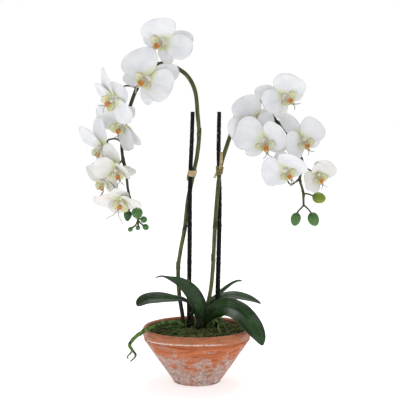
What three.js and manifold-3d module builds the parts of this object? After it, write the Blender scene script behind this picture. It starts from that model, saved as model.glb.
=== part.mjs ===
// A moth orchid with two flower spikes, standing in a wide terracotta bowl.
// Units are millimetres and +Z is up. The origin is the centre of the bowl's foot, on the surface
// that it stands on. -Y is the front, the side that most of the blooms face.
import * as THREE from 'three';
import { mergeVertices } from 'three/addons/utils/BufferGeometryUtils.js';
import Module from 'manifold-3d';

const wasm = await Module();
wasm.setup();

// Bowl: a turned clay dish with a flared rim band
const FOOT_RADIUS = 46;
const RIM_RADIUS = 105;
const BOWL_HEIGHT = 106;
const RIM_BAND_HEIGHT = 18;
const WALL = 7.5;
const FLOOR = 10;
const BOWL_SEGMENTS = 28;

// Soil and moss
const SOIL_TOP = 88;
const SOIL_EDGE_INSET = 8.5;
const MOSS_TOP = 99;
const MOSS_BUMP = 2.2;
const MOSS_EDGE_RADIUS = 95.6;
const MOSS_RINGS = 5;
const MOSS_SEGMENTS = 22;

// What touches keeps this gap, and stems stand in holes with this much room round them
const GAP = 0.4;
const HOLE_ROOM = 0.5;
const JOIN_TOLERANCE = 0.14;

// Stems
const CANE_RADII = { left: [4.3, 4.3, 3.8], right: [4.9, 4.3, 3.8] };
const CANE_STEPS = 9;
const CANE_FOOT = 45;
const SPIKE_RADIUS = 3.9;
const SPIKE_TIP_RADIUS = 2.2;
const SPIKE_FOOT = 62;
const SPIKE_STEPS = { left: 36, right: 30 };
const PEDICEL_RADIUS = 1.7;
const BUD_STALK_RADIUS = 1.7;
const BUD_SIDES = 8;
const BUD_ROWS = 5;
const BUD_POINT = 0.16;
const CROWN_RADIUS = 7;
const CROWN_AT = [3, 0];
const CROWN_FOOT = 66;
const CROWN_TOP = 122;

// Blades
const TEPAL_THICKNESS = 0.9;
const LEAF_THICKNESS = 1.7;
const LEAF_TIP_WIDTH = 4.4;

// Flower base, in the flower's own frame: X to the right, Y up, Z the way it faces
const HUB = { radius: 6.5, depth: 4 };
const COLUMN = { at: [0, 2.6, 6.6], radii: [3.1, 3.6, 6.2], tilt: 24 };
const PEDICEL_END = HUB.depth + GAP;
const STALK_RUN = 16;

// One set of tepals. The angle turns clockwise from straight up, lift raises the blade towards the
// viewer, bend curls it along its length, cup rounds it across, and turn rolls it about its midrib.
const TEPALS = {
  dorsal: { angle: 0, length: 46, width: 32, claw: 7, rise: 0.55, fall: 0.5, root: -1.6, lift: -6, bend: -12,
    cup: 0.45, turn: 0 },
  lateralRight: { angle: 135, length: 42, width: 28, claw: 7, rise: 0.5, fall: 0.58, root: -1.6, lift: -4,
    bend: -12, cup: 0.45, turn: 0 },
  lateralLeft: { angle: -135, length: 42, width: 28, claw: 7, rise: 0.5, fall: 0.58, root: -1.6, lift: -4,
    bend: -12, cup: 0.45, turn: 0 },
  petalLeft: { angle: -84, length: 48, width: 60, claw: 6, rise: 0.62, fall: 0.44, root: 0.6, lift: 8,
    bend: -14, cup: 0.25, turn: 0 },
  petalRight: { angle: 84, length: 48, width: 60, claw: 6, rise: 0.62, fall: 0.44, root: 0.6, lift: 8,
    bend: -14, cup: 0.25, turn: 0 },
};
const TEPAL_START = 2;
const TEPAL_GRID = [3, 2];
const PETAL_GRID = [4, 4];
const LEAF_GRID = [9, 4];

// Where each bloom is, which way it looks, and how its tepals differ from the set above.
// "from" is the place on the spike that its stalk leaves, "stalk" how far the stalk runs straight
// behind the bloom, "via" the points that it passes on the way, and "tendril" stretches the tendrils.
const BLOOMS = [
  { name: 'left_1', from: [-60, 4, 605], at: [-62, -32, 645], yaw: -10, pitch: 4, roll: -48, size: 1.04,
    tendril: 0.6, dorsal: { angle: 34, length: 52 }, lateralRight: { angle: 118, length: 40 },
    lateralLeft: { angle: -125, length: 38 }, petalLeft: { angle: -62, length: 44, width: 64, lift: 42 },
    petalRight: { angle: 59, length: 54, width: 45, lift: 12 } },
  { name: 'left_2', from: [-90, 4, 596], at: [-90, -44, 578], yaw: -8, pitch: 0, roll: -50, size: 1.1,
    dorsal: { angle: 25, length: 52, width: 34 }, lateralRight: { angle: 133, length: 44, width: 24 },
    lateralLeft: { angle: -140, length: 44, width: 26 },
    petalLeft: { angle: -75, length: 50, width: 65, lift: 6 },
    petalRight: { angle: 66, length: 44, width: 58, lift: 14 } },
  { name: 'left_3', from: [-112, 4, 560], via: [[-123, -6, 564], [-136, -17, 563]],
    at: [-151, -42, 541], yaw: -44, pitch: -26, roll: -66, size: 1,
    dorsal: { angle: -16, length: 31, width: 48 }, lateralRight: { length: 30, lift: 10 },
    lateralLeft: { angle: -136, length: 62 },
    petalLeft: { angle: -89, length: 60, width: 50, lift: -8, turn: 18 },
    petalRight: { angle: 86, length: 50, width: 54, lift: 12 } },
  { name: 'left_4', from: [-135, 4, 496], at: [-138, -17, 494], yaw: -40, pitch: -16, roll: -20, size: 1,
    stalk: 9, tendril: 0.7, dorsal: { angle: 0, length: 34, lift: -35 },
    lateralRight: { angle: 140, length: 50, lift: -10 }, lateralLeft: { angle: -130, length: 30 },
    petalLeft: { angle: -88, length: 62, width: 47, lift: 12 },
    petalRight: { angle: 142, length: 50, width: 44, lift: 19, turn: -8 } },
  { name: 'left_5', from: [-142, 4, 460], via: [[-154, 2, 465], [-168, -2, 462]], stalk: 9,
    at: [-176, -10, 448], yaw: -62, pitch: 0, roll: 0, size: 0.96,
    tendril: 1.4, dorsal: { length: 60, width: 34, lift: 16, turn: -24 }, lateralRight: { angle: 150 },
    lateralLeft: { angle: -142, lift: 10 }, petalLeft: { angle: -48, length: 65, width: 33, lift: 38 },
    petalRight: { angle: 130, length: 42, width: 40, lift: -10 } },
  { name: 'left_6', from: [-140, 4, 427], at: [-148, -36, 412], yaw: -12, pitch: -35, roll: 12, size: 0.96,
    stalk: 9, dorsal: { angle: -4, length: 52 }, lateralRight: { angle: 128, length: 36 },
    lateralLeft: { angle: -142 }, petalLeft: { angle: -58, length: 46, width: 56, lift: 22 },
    petalRight: { angle: 80, length: 38, width: 42, lift: 46 } },
  { name: 'left_7', from: [-134, 4, 398], at: [-173, 2, 386], yaw: -62, pitch: -15, roll: -5, size: 0.94,
    tendril: 1.6, petalLeft: { angle: -42, width: 32, fall: 0.7, lift: 36, turn: -28 },
    petalRight: { angle: 110, length: 34, width: 36, lift: -10 } },
  { name: 'left_8', from: [-128, 5, 352], at: [-139, -32, 354], yaw: -8, pitch: -50, roll: -28, size: 0.96,
    tendril: 2.2, dorsal: { angle: -30, width: 40, lift: 18 },
    lateralRight: { angle: 105, length: 32, lift: 18 },
    lateralLeft: { angle: -178, length: 46, width: 34, lift: 15 },
    petalLeft: { angle: -127, length: 60, width: 50, fall: 0.7, lift: 5 },
    petalRight: { angle: 28, length: 48, width: 46, lift: 34 } },
  { name: 'right_1', from: [132, 6, 528], at: [161, -32, 544], yaw: 10, pitch: 4, roll: 48, size: 0.98,
    dorsal: { angle: -30, length: 54 }, lateralRight: { angle: 125, length: 40 },
    lateralLeft: { angle: -115, length: 40 }, petalLeft: { angle: -62, length: 46, width: 48, lift: 20 },
    petalRight: { angle: 66, length: 45, width: 64, lift: 36 } },
  { name: 'right_2', from: [98, 5, 530], at: [106, -14, 498], yaw: 10, pitch: 5, roll: 74, size: 0.98,
    dorsal: { length: 38 }, lateralRight: { length: 38, lift: 8 },
    petalLeft: { angle: -52, length: 52 }, petalRight: { angle: 46, length: 50 } },
  { name: 'right_3', from: [143, 6, 509], at: [126, -42, 463], yaw: -8, pitch: 0, roll: 13, size: 1.08,
    dorsal: { angle: 14, length: 50 }, lateralRight: { angle: 122, length: 38 },
    lateralLeft: { angle: -112, length: 40 }, petalLeft: { angle: -54, length: 54, lift: 0 },
    petalRight: { angle: 74, length: 44, width: 54, lift: 46 } },
  { name: 'right_4', from: [176, 6, 467], at: [197, -32, 464], yaw: 10, pitch: 0, roll: 25, size: 0.94,
    dorsal: { angle: -14, length: 66 }, lateralRight: { angle: 122, length: 36 },
    lateralLeft: { angle: -122, length: 36 }, petalLeft: { angle: -86, length: 48, width: 58, lift: 38 },
    petalRight: { angle: 66, length: 47, width: 56, lift: 10 } },
  { name: 'right_5', from: [195, 5, 389], via: [[182, -6, 381], [176, -22, 380], [168, -38, 390]],
    at: [164, -58, 410], yaw: 0, pitch: -8, roll: 30, size: 0.92,
    dorsal: { angle: 8, length: 38 }, lateralRight: { angle: 122, length: 34 },
    lateralLeft: { angle: -122, length: 34 }, petalLeft: { angle: -64, lift: 10 },
    petalRight: { angle: 62, width: 66, lift: 48 } },
  { name: 'right_6', from: [199, 6, 414], at: [226, -30, 399], yaw: 8, pitch: -5, roll: 22, size: 0.84,
    dorsal: { angle: 10, length: 42, lift: 50 }, lateralRight: { angle: 98, length: 46 },
    lateralLeft: { angle: -125, length: 40, lift: 0 },
    petalLeft: { angle: -104, length: 44, width: 52, lift: 40 },
    petalRight: { angle: 54, width: 54, lift: 48 } },
];

// The lip, in the flower's frame: a pointed middle lobe, a lobe that stands up on each side, the raised
// callus between them, and two tendrils at the tip
const LIP_LOBES = [
  { angle: 180, start: 3.4, root: 4.5, length: 21, width: 12, claw: 8, rise: 0.5, fall: 0.75, lift: 34,
    bend: -34, cup: 0.5, turn: 0, thickness: 1.1 },
  { angle: 132, start: 6.5, root: 6.4, length: 17, width: 17, claw: 6, rise: 0.5, fall: 0.4, lift: 46,
    bend: 14, cup: 0.4, turn: 0, thickness: 1 },
  { angle: -132, start: 6.5, root: 6.4, length: 17, width: 17, claw: 6, rise: 0.5, fall: 0.4, lift: 46,
    bend: 14, cup: 0.4, turn: 0, thickness: 1 },
];
const LIP_GRID = [2, 2];
const LOBE_GRID = [2, 1];
const CALLUS = { at: [0, -13, 12.8], radii: [4.5, 5, 3.3], tilt: 0 };
const TENDRIL = { root: [0.5, -20.3, 10.5], reach: [[2.5, -5, 5], [8, -9, 9]], radius: 1 };

// Buds: where each is, the way its tip points, its length and width, the points of its stalk, and how
// far it narrows to its tip where that differs from the rest
const BUDS = [
  { name: 'left_1', spike: 'left', at: [-113, -7, 325.5], axis: [0.1, -0.8, 0.2], size: [22, 21.5],
    stalk: [[-117, 9, 325], [-115, 6, 325]] },
  { name: 'left_2', spike: 'left', at: [-101, 4, 311.5], axis: [1, -0.2, 0], size: [13, 13],
    stalk: [[-112, 8, 313], [-108.5, 6, 312.5]] },
  { name: 'left_3', spike: 'left', at: [-97.5, 4, 297], axis: [0.8, 0, -0.6], size: [12.5, 12],
    stalk: [[-112, 8, 309], [-107, 6, 304], [-103, 5, 300.5]] },
  { name: 'left_4', spike: 'left', at: [-112.5, 4, 295.5], axis: [0, 0, -1], size: [9.5, 9],
    stalk: [[-112.5, 8, 310], [-112, 6, 304], [-112, 4.5, 301]] },
  { name: 'left_5', spike: 'left', at: [-127, 4, 292.5], axis: [-0.8, 0, -0.5], size: [10, 9.5],
    stalk: [[-112.5, 8, 310], [-117, 6, 300.5], [-123, 4.5, 296]] },
  { name: 'left_6', spike: 'left', at: [-132, 8, 318], axis: [-0.1, 0, -1], size: [21, 15.5], point: 0.6,
    stalk: [[-122, 7, 337], [-126, 8.5, 334], [-129.5, 8.5, 329]] },
  { name: 'right_1', spike: 'right', at: [232, 5, 353], axis: [1, 0, -0.25], size: [26, 21.5],
    stalk: [[201.4, 5, 360.8], [209, 5, 360.6], [219, 5, 357.5]] },
  { name: 'right_2', spike: 'right', at: [188, 5, 312], axis: [-0.2, 0, -1], size: [26, 19.5],
    stalk: [[203, 5, 339], [197, 5, 332], [192, 5, 326.5]] },
  { name: 'right_3', spike: 'right', at: [222, 5, 312], axis: [0.4, 0, -1], size: [27.5, 21.5],
    stalk: [[203, 5, 339], [210, 5, 333], [215.5, 5, 326.5]] },
];

// Stems, from the soil up. The buried foot is straight under the first point.
const SPIKES = {
  left: [[-27, 10, 112], [-28, 10, 126], [-34, 11, 165], [-36, 13, 217], [-32, 14, 248], [-24, 15, 290],
    [-17, 16, 350], [-12, 16, 373], [-6, 14, 401], [1, 11, 438], [4, 9, 474], [1.3, 8, 510], [-3.6, 6, 555],
    [-17, 5, 582], [-36, 4, 597], [-58, 4, 605], [-75, 4, 605], [-90, 4, 596], [-105, 4, 575], [-117, 4, 551],
    [-128, 4, 519], [-137, 4, 485], [-142, 4, 451], [-140, 4, 427], [-134, 4, 398], [-131, 4, 370],
    [-125, 6, 343], [-116, 9, 322], [-112, 8, 308]],
  right: [[14, -2, 112], [14.5, -2, 126], [21, -3, 152], [26, -4, 177], [30, -5, 216], [32, -6, 254],
    [34, -6, 298], [37, -7, 340], [41, -7, 386], [46, -6, 418], [59, -3, 460], [72, 1, 495], [89, 4, 523],
    [109, 6, 537], [125, 6, 534], [137, 6, 519], [149, 6, 499], [163, 6, 489], [175, 6, 468],
    [188, 6, 444], [199, 6, 425], [198, 5, 402], [195, 5, 389], [201, 5, 366], [203, 5, 338]],
};
const CANES = {
  left: [[-15.5, 6, 110], [-15, 6, 180], [-14, 6, 260], [-13.5, 6, 349], [-12, 6, 413], [-10, 6, 457],
    [-8, 6, 516]],
  right: [[39, 4, 110], [40, 4, 182], [42, 4, 270], [43, 4, 349], [41, 4, 433], [42, 4, 516]],
};

// Raffia ties: the band's foot and height, and the loose ends with their radii
const TIES = {
  left: { foot: 393.5, height: 11,
    tails: [{ points: [[-17.3, 2, 397], [-18, 1, 392], [-17.8, 0.6, 386]], radii: [1.5, 1.2, 1] }] },
  right: { foot: 399.5, height: 13,
    tails: [
      { points: [[38, -2, 403], [36, -5, 398.5], [32.6, -7, 391.5]], radii: [1.6, 1.9, 2.1] },
      { points: [[44.5, -11, 407], [45.5, -12.9, 425], [46, -12.5, 441]], radii: [1.8, 2.4, 2.2] },
    ] },
};
const TIE_BORE_RADIUS = 4.9;
const TIE_THICKNESS = 1.4;
const TIE_BULGE = 0.7;
const TIE_SIDES = 10;

// Leaves: the points of the midrib, which way the upper face looks at the root and at the tip, the
// greatest width, the width at the root as a share of it, how the outline rises and falls, and how far
// each half folds up, in degrees
const LEAVES = [
  { name: 'a', rib: [[-8.5, -4, 108], [-9, -6, 130], [-13, -9, 149], [-26, -15, 160], [-47, -20, 162],
    [-74, -22, 163], [-96, -25, 161], [-114, -28, 152]], faces: [[0.3, -0.8, 0.3], [0, -0.5, 0.85]],
  width: 33, root: 0.2, rise: 1.9, fall: 0.45, fold: 18 },
  { name: 'b', rib: [[2.4, -10, 103.5], [5.4, -12, 121], [5.2, -13.5, 138], [2, -16, 151], [-4, -18, 163],
    [-14, -20.5, 178], [-32, -22, 194.5], [-50, -22, 202], [-66, -21, 206.5], [-79.5, -21, 203.5]],
  faces: [[0.1, -0.95, 0.1], [0.3, -0.75, 0.6]], width: 37, root: 0.3, rise: 1.35, fall: 2, fold: 12 },
  { name: 'c', rib: [[13, -9.5, 104], [17.5, -14, 117], [25, -20, 132], [38, -27, 144], [58, -37, 149],
    [82, -49, 140], [103, -59, 118], [117, -64, 97], [122.5, -65, 83.5]],
  faces: [[0.1, -0.95, 0.2], [0.5, -0.75, 0.4]], width: 47, root: 0.14, rise: 1.05, fall: 0.64, fold: 10 },
  { name: 'd', rib: [[12.5, 6, 106], [22, 15, 130], [33, 23, 146], [48, 28, 155], [72, 34, 158],
    [97, 42, 152], [125, 50, 141]], faces: [[-0.4, -0.2, 0.8], [0.1, -0.35, 0.9]], width: 30, root: 0.26,
  rise: 0.8, fall: 0.45, fold: 14 },
  { name: 'e', rib: [[5, 10, 110], [12, 15, 132], [25, 18, 151], [36, 19, 159], [46, 19, 167], [60, 20, 178],
    [71, 20, 186], [81, 20, 190], [87, 20, 190]], faces: [[-0.6, 0.3, 0.6], [-0.3, -0.2, 0.9]], width: 18,
  root: 0.5, rise: 0.6, fall: 0.35, fold: 18 },
];

// Aerial roots, each a run of points with its radii
const ROOTS = {
  left: [
    { points: [[-21, -2, 97], [-28, -8, 110], [-42, -14, 115], [-59, -22, 117], [-72, -32, 115],
      [-84, -44, 113], [-95, -52, 111], [-106, -54, 104], [-116, -54, 96], [-123, -53, 88], [-126, -52, 80],
      [-122, -51, 73], [-118, -50, 67]], radii: [3.4, 4, 4.1, 3.6, 2.8] },
    { points: [[-119.5, -50.5, 69], [-115, -50, 63], [-117, -50, 57], [-122, -50, 52], [-126, -50, 49]],
      radii: [2.6, 1.7, 1.2] },
    { points: [[-120.5, -50.5, 71], [-125, -50, 65], [-130, -50, 59], [-129, -50, 54]],
      radii: [2.4, 1.6, 1.1] },
  ],
  right: [
    { points: [[20.2, -3.5, 103], [28, -9, 116], [37, -20, 121], [40, -30, 117], [41, -38, 109],
      [44, -46, 102.5], [56, -47, 102], [70, -40, 108]], radii: [2, 2.2, 2, 1.6] },
    { points: [[28, -9, 116], [38, -15, 124], [47, -22, 125], [50, -31, 117], [56, -40, 108],
      [60, -45, 103.5]], radii: [1.9, 1.9, 1.7, 1.4] },
  ],
};

const rad = THREE.MathUtils.degToRad;
const orchid = new THREE.Group();

function paint(colour, roughness) {
  return new THREE.MeshStandardMaterial({ color: colour, roughness, metalness: 0 });
}

const TERRACOTTA = paint('#c26a42', 0.85);
const SOIL = paint('#2b221b', 0.95);
const MOSS = paint('#4c5a24', 0.95);
const LEAF = paint('#27401f', 0.4);
const STEM = paint('#4d5f2b', 0.55);
const CANE = paint('#1b1a18', 0.8);
const RAFFIA = paint('#b39a6c', 0.85);
const ROOT = paint('#5f8a3c', 0.7);
const PETAL = paint('#eeeef1', 0.55);
const LIP = paint('#d9892f', 0.5);
const BUD = paint('#3f7a30', 0.5);

function place(name, geometry, material) {
  const mesh = new THREE.Mesh(geometry, material);
  mesh.name = name;
  orchid.add(mesh);
  return mesh;
}

function vector(values) {
  return new THREE.Vector3(...values);
}

// Solids: a closed mesh becomes a solid that can be joined and cut, and comes back as a mesh
function solidOf(geometry) {
  const bare = geometry.clone();
  bare.deleteAttribute('normal');
  bare.deleteAttribute('uv');
  const merged = mergeVertices(bare, 1e-4);
  const corners = merged.index.array;
  const kept = [];
  for (let i = 0; i < corners.length; i += 3) {
    const [a, b, c] = corners.slice(i, i + 3);
    if (a !== b && b !== c && c !== a) kept.push(a, b, c);
  }
  const vertProperties = Float32Array.from(merged.attributes.position.array);
  return new wasm.Manifold(new wasm.Mesh({ numProp: 3, vertProperties, triVerts: Uint32Array.from(kept) }));
}

function geometryOf(solid) {
  const mesh = solid.getMesh();
  const geometry = new THREE.BufferGeometry();
  geometry.setAttribute('position', new THREE.BufferAttribute(mesh.vertProperties, 3));
  geometry.setIndex(new THREE.BufferAttribute(mesh.triVerts, 1));
  geometry.computeVertexNormals();
  return geometry;
}

function fuse(geometries) {
  return geometries.map(solidOf).reduce((whole, next) => whole.add(next)).simplify(JOIN_TOLERANCE);
}

// A closed mesh from rings of points: every ring has the same number of points, the first and the
// last ring are closed by flat fans.
function skin(rings) {
  const count = rings[0].length;
  const positions = rings.flat().flatMap((p) => [p.x, p.y, p.z]);
  const faces = [];
  for (let i = 0; i + 1 < rings.length; i += 1) {
    for (let j = 0; j < count; j += 1) {
      const a = i * count + j;
      const b = i * count + ((j + 1) % count);
      faces.push(a, b, b + count, a, b + count, a + count);
    }
  }
  for (const [start, reversed] of [[0, true], [(rings.length - 1) * count, false]]) {
    for (let j = 1; j + 1 < count; j += 1) {
      const fan = [start, start + j, start + j + 1];
      faces.push(...(reversed ? fan.reverse() : fan));
    }
  }
  const geometry = new THREE.BufferGeometry();
  geometry.setAttribute('position', new THREE.Float32BufferAttribute(positions, 3));
  geometry.setIndex(faces);
  return geometry;
}

// A round limb along a smooth curve through its points. The radius runs evenly from one value to
// the next along the list.
function limb(points, radii, sides, steps) {
  const curve = new THREE.CatmullRomCurve3(points.map(vector), false, 'centripetal');
  const frames = curve.computeFrenetFrames(steps, false);
  const rings = [];
  for (let i = 0; i <= steps; i += 1) {
    const centre = curve.getPointAt(i / steps);
    const slot = (i / steps) * (radii.length - 1);
    const low = Math.min(Math.floor(slot), radii.length - 2);
    const radius = THREE.MathUtils.lerp(radii[low], radii[low + 1], slot - low);
    const ring = [];
    for (let j = 0; j < sides; j += 1) {
      const angle = (j / sides) * Math.PI * 2;
      const spoke = frames.normals[i].clone().multiplyScalar(Math.cos(angle))
        .addScaledVector(frames.binormals[i], Math.sin(angle));
      ring.push(centre.clone().addScaledVector(spoke, radius));
    }
    rings.push(ring);
  }
  return skin(rings);
}

// A thin closed blade. "at" gives the middle surface and its normal for u along and v across, and
// both faces are split into triangles alike.
function blade(at, along, across, thickness) {
  const faces = [];
  const positions = [];
  const width = across + 1;
  const layer = (along + 1) * width;
  for (const side of [1, -1]) {
    for (let i = 0; i <= along; i += 1) {
      for (let j = 0; j <= across; j += 1) {
        const { centre, normal } = at(i / along, (j / across) * 2 - 1);
        const p = centre.clone().addScaledVector(normal, (side * thickness) / 2);
        positions.push(p.x, p.y, p.z);
      }
    }
  }
  for (let i = 0; i < along; i += 1) {
    for (let j = 0; j < across; j += 1) {
      const a = i * width + j;
      const b = a + 1;
      const c = a + width;
      const d = c + 1;
      const halves = j < across / 2 ? [[a, b, c], [b, d, c]] : [[a, b, d], [a, d, c]];
      for (const [p, q, r] of halves) {
        faces.push(p, q, r, p + layer, r + layer, q + layer);
      }
    }
  }
  const border = [];
  for (let j = 0; j < across; j += 1) border.push(j);
  for (let i = 0; i < along; i += 1) border.push(i * width + across);
  for (let j = across; j > 0; j -= 1) border.push(along * width + j);
  for (let i = along; i > 0; i -= 1) border.push(i * width);
  border.forEach((p, k) => {
    const q = border[(k + 1) % border.length];
    faces.push(q, p, p + layer, q, p + layer, q + layer);
  });
  const geometry = new THREE.BufferGeometry();
  geometry.setAttribute('position', new THREE.Float32BufferAttribute(positions, 3));
  geometry.setIndex(faces);
  return geometry;
}

// Half-width of a blade at u along it, as a share of its greatest: rise shapes the root end and
// fall the tip.
function outline(u, rise, fall) {
  const peak = rise / (rise + fall);
  return (u ** rise * (1 - u) ** fall) / (peak ** rise * (1 - peak) ** fall);
}

// A tepal in the flower's frame
function tepalGeometry(form, along, across) {
  const angle = rad(form.angle);
  const outward = new THREE.Vector3(Math.sin(angle), Math.cos(angle), 0);
  const sideways = new THREE.Vector3(Math.cos(angle), -Math.sin(angle), 0);
  const facing = new THREE.Vector3(0, 0, 1);
  const lift = rad(form.lift);
  const bend = rad(form.bend);
  const turn = rad(form.turn);
  const start = form.start ?? TEPAL_START;
  const at = (s, v) => {
    const u = Math.sin((s * Math.PI) / 2);
    const tilt = lift + bend * u;
    const reach = bend ? (Math.sin(tilt) - Math.sin(lift)) / bend : u * Math.cos(lift);
    const height = bend ? (Math.cos(lift) - Math.cos(tilt)) / bend : u * Math.sin(lift);
    const half = Math.max((form.width / 2) * outline(Math.min(u, 0.995), form.rise, form.fall),
      (form.claw / 2) * Math.sqrt(1 - u), 0.8);
    const flat = facing.clone().multiplyScalar(Math.cos(tilt)).addScaledVector(outward, -Math.sin(tilt));
    const across3 = sideways.clone().multiplyScalar(Math.cos(turn)).addScaledVector(flat, Math.sin(turn));
    const normal3 = flat.clone().multiplyScalar(Math.cos(turn)).addScaledVector(sideways, -Math.sin(turn));
    const arc = form.cup * v;
    const centre = outward.clone().multiplyScalar(start + form.length * reach)
      .addScaledVector(facing, form.root + form.length * height)
      .addScaledVector(across3, (half * Math.sin(arc)) / form.cup)
      .addScaledVector(normal3, (half * (1 - Math.cos(arc))) / form.cup);
    const normal = normal3.clone().multiplyScalar(Math.cos(arc)).addScaledVector(across3, -Math.sin(arc));
    return { centre, normal };
  };
  return blade(at, along, across, form.thickness ?? TEPAL_THICKNESS);
}

function ellipsoid(at, radii, tilt, segments, rings) {
  const geometry = new THREE.SphereGeometry(1, segments, rings);
  geometry.scale(...radii);
  geometry.rotateX(rad(tilt));
  geometry.translate(...at);
  return geometry;
}

// The way a bloom stands: columns are its right, its up and the way it faces
function bloomTurn(bloom) {
  const yaw = rad(bloom.yaw);
  const pitch = rad(bloom.pitch);
  const facing = new THREE.Vector3(Math.sin(yaw) * Math.cos(pitch), -Math.cos(yaw) * Math.cos(pitch),
    Math.sin(pitch));
  const up = new THREE.Vector3(-Math.sin(yaw) * Math.sin(pitch), Math.cos(yaw) * Math.sin(pitch),
    Math.cos(pitch));
  const right = new THREE.Vector3().crossVectors(up, facing);
  const roll = rad(bloom.roll);
  const rolledRight = right.clone().multiplyScalar(Math.cos(roll)).addScaledVector(up, Math.sin(roll));
  const rolledUp = up.clone().multiplyScalar(Math.cos(roll)).addScaledVector(right, -Math.sin(roll));
  return new THREE.Matrix4().makeBasis(rolledRight, rolledUp, facing);
}

// A profile of radius and height turned about the upright axis
function turned(profile, segments) {
  return new THREE.LatheGeometry(profile.map(([r, z]) => new THREE.Vector2(r, z)), segments)
    .rotateX(Math.PI / 2);
}

// Bowl
function bowlGeometry() {
  const bandFoot = BOWL_HEIGHT - RIM_BAND_HEIGHT;
  const profile = [
    [0, 0], [FOOT_RADIUS - 3, 0], [FOOT_RADIUS, 2.5], [RIM_RADIUS - 3.4, bandFoot - 6],
    [RIM_RADIUS - 2.2, bandFoot - 3.5], [RIM_RADIUS - 0.8, bandFoot], [RIM_RADIUS - 1.6, bandFoot + 3.5],
    [RIM_RADIUS, bandFoot + 9], [RIM_RADIUS - 0.4, BOWL_HEIGHT - 3], [RIM_RADIUS - 3, BOWL_HEIGHT],
    [RIM_RADIUS - WALL + 1.5, BOWL_HEIGHT - 0.5], [RIM_RADIUS - WALL, BOWL_HEIGHT - 3.5],
    [RIM_RADIUS - WALL - 1, bandFoot + 6], [RIM_RADIUS - WALL - 8, bandFoot - 10], [FOOT_RADIUS - 6, FLOOR],
    [0, FLOOR],
  ];
  return turned(profile, BOWL_SEGMENTS);
}

// A plain upright hole or foot
function post(x, y, foot, top, radius, sides) {
  return new THREE.CylinderGeometry(radius, radius, top - foot, sides).rotateX(Math.PI / 2)
    .translate(x, y, (foot + top) / 2);
}

function cutHoles(solid, holes) {
  return holes.reduce((rest, hole) => rest.subtract(solidOf(hole)), solid);
}

function stemHole([x, y], foot, radius, sides) {
  return post(x, y, foot - GAP, BOWL_HEIGHT, radius + HOLE_ROOM, sides);
}

const STEM_HOLES = [
  ...Object.entries(CANES).map(([side, [start]]) => stemHole(start, CANE_FOOT, CANE_RADII[side][0], 10)),
  ...Object.values(SPIKES).map(([start]) => stemHole(start, SPIKE_FOOT, SPIKE_RADIUS, 10)),
  stemHole(CROWN_AT, CROWN_FOOT, CROWN_RADIUS + 2, 14),
];

// Soil: fills the bowl to a level below the rim
function soilSolid() {
  const shoulder = RIM_RADIUS - WALL - SOIL_EDGE_INSET;
  const profile = [[0, FLOOR + GAP], [FOOT_RADIUS - 6.6, FLOOR + GAP],
    [shoulder, BOWL_HEIGHT - RIM_BAND_HEIGHT - 10], [shoulder + 3, SOIL_TOP], [0, SOIL_TOP]];
  return cutHoles(solidOf(turned(profile, BOWL_SEGMENTS)), STEM_HOLES);
}

// Moss: an uneven mat on the soil, a little higher in the middle
function mossHeight(x, y) {
  const waves = Math.sin(x * 0.13 + 1.1) * Math.cos(y * 0.15) + 0.6 * Math.sin(x * 0.31 - y * 0.27);
  const dome = 1 - (x * x + y * y) / (MOSS_EDGE_RADIUS * MOSS_EDGE_RADIUS);
  return MOSS_TOP + MOSS_BUMP * (waves * 0.6 + dome);
}

function mossSolid(grooves) {
  const foot = SOIL_TOP + GAP;
  const rings = [];
  const ringAt = (radius, height) => Array.from({ length: MOSS_SEGMENTS }, (_, j) => {
    const angle = (j / MOSS_SEGMENTS) * Math.PI * 2;
    const [x, y] = [radius * Math.cos(angle), radius * Math.sin(angle)];
    return new THREE.Vector3(x, y, height ?? mossHeight(x, y));
  });
  rings.push(ringAt(MOSS_EDGE_RADIUS - 4, foot));
  for (let i = MOSS_RINGS; i > 0; i -= 1) rings.push(ringAt((MOSS_EDGE_RADIUS * i) / MOSS_RINGS));
  return cutHoles(solidOf(skin(rings)), [...STEM_HOLES, ...grooves]);
}

function buried(points, foot) {
  const [x, y] = points[0];
  return [[x, y, foot], [x, y, (foot + points[0][2]) / 2], ...points];
}

function caneGeometry(side) {
  return limb(buried(CANES[side], CANE_FOOT), CANE_RADII[side], 8, CANE_STEPS);
}

// A flower stalk leaves the spike sideways and meets the back of its bloom square on
function pedicelGeometry(bloom) {
  const facing = new THREE.Vector3().setFromMatrixColumn(bloomTurn(bloom), 2);
  const hub = vector(bloom.at);
  const end = hub.clone().addScaledVector(facing, -PEDICEL_END * bloom.size);
  const behind = hub.clone().addScaledVector(facing, -(bloom.stalk ?? STALK_RUN) * bloom.size);
  const via = bloom.via ?? [];
  return limb([bloom.from, ...via, behind.toArray(), end.toArray()], [PEDICEL_RADIUS, PEDICEL_RADIUS], 5,
    3 + via.length);
}

function spikeSolid(side) {
  const radii = [SPIKE_RADIUS, SPIKE_RADIUS, SPIKE_RADIUS, SPIKE_TIP_RADIUS];
  const stem = limb(buried(SPIKES[side], SPIKE_FOOT), radii, 6, SPIKE_STEPS[side]);
  const stalks = BLOOMS.filter((bloom) => bloom.name.startsWith(side)).map(pedicelGeometry);
  const budStalks = BUDS.filter((bud) => bud.spike === side)
    .map((bud) => limb(bud.stalk, [BUD_STALK_RADIUS, BUD_STALK_RADIUS], 5, bud.stalk.length - 1));
  return fuse([stem, ...stalks, ...budStalks]);
}

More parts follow.
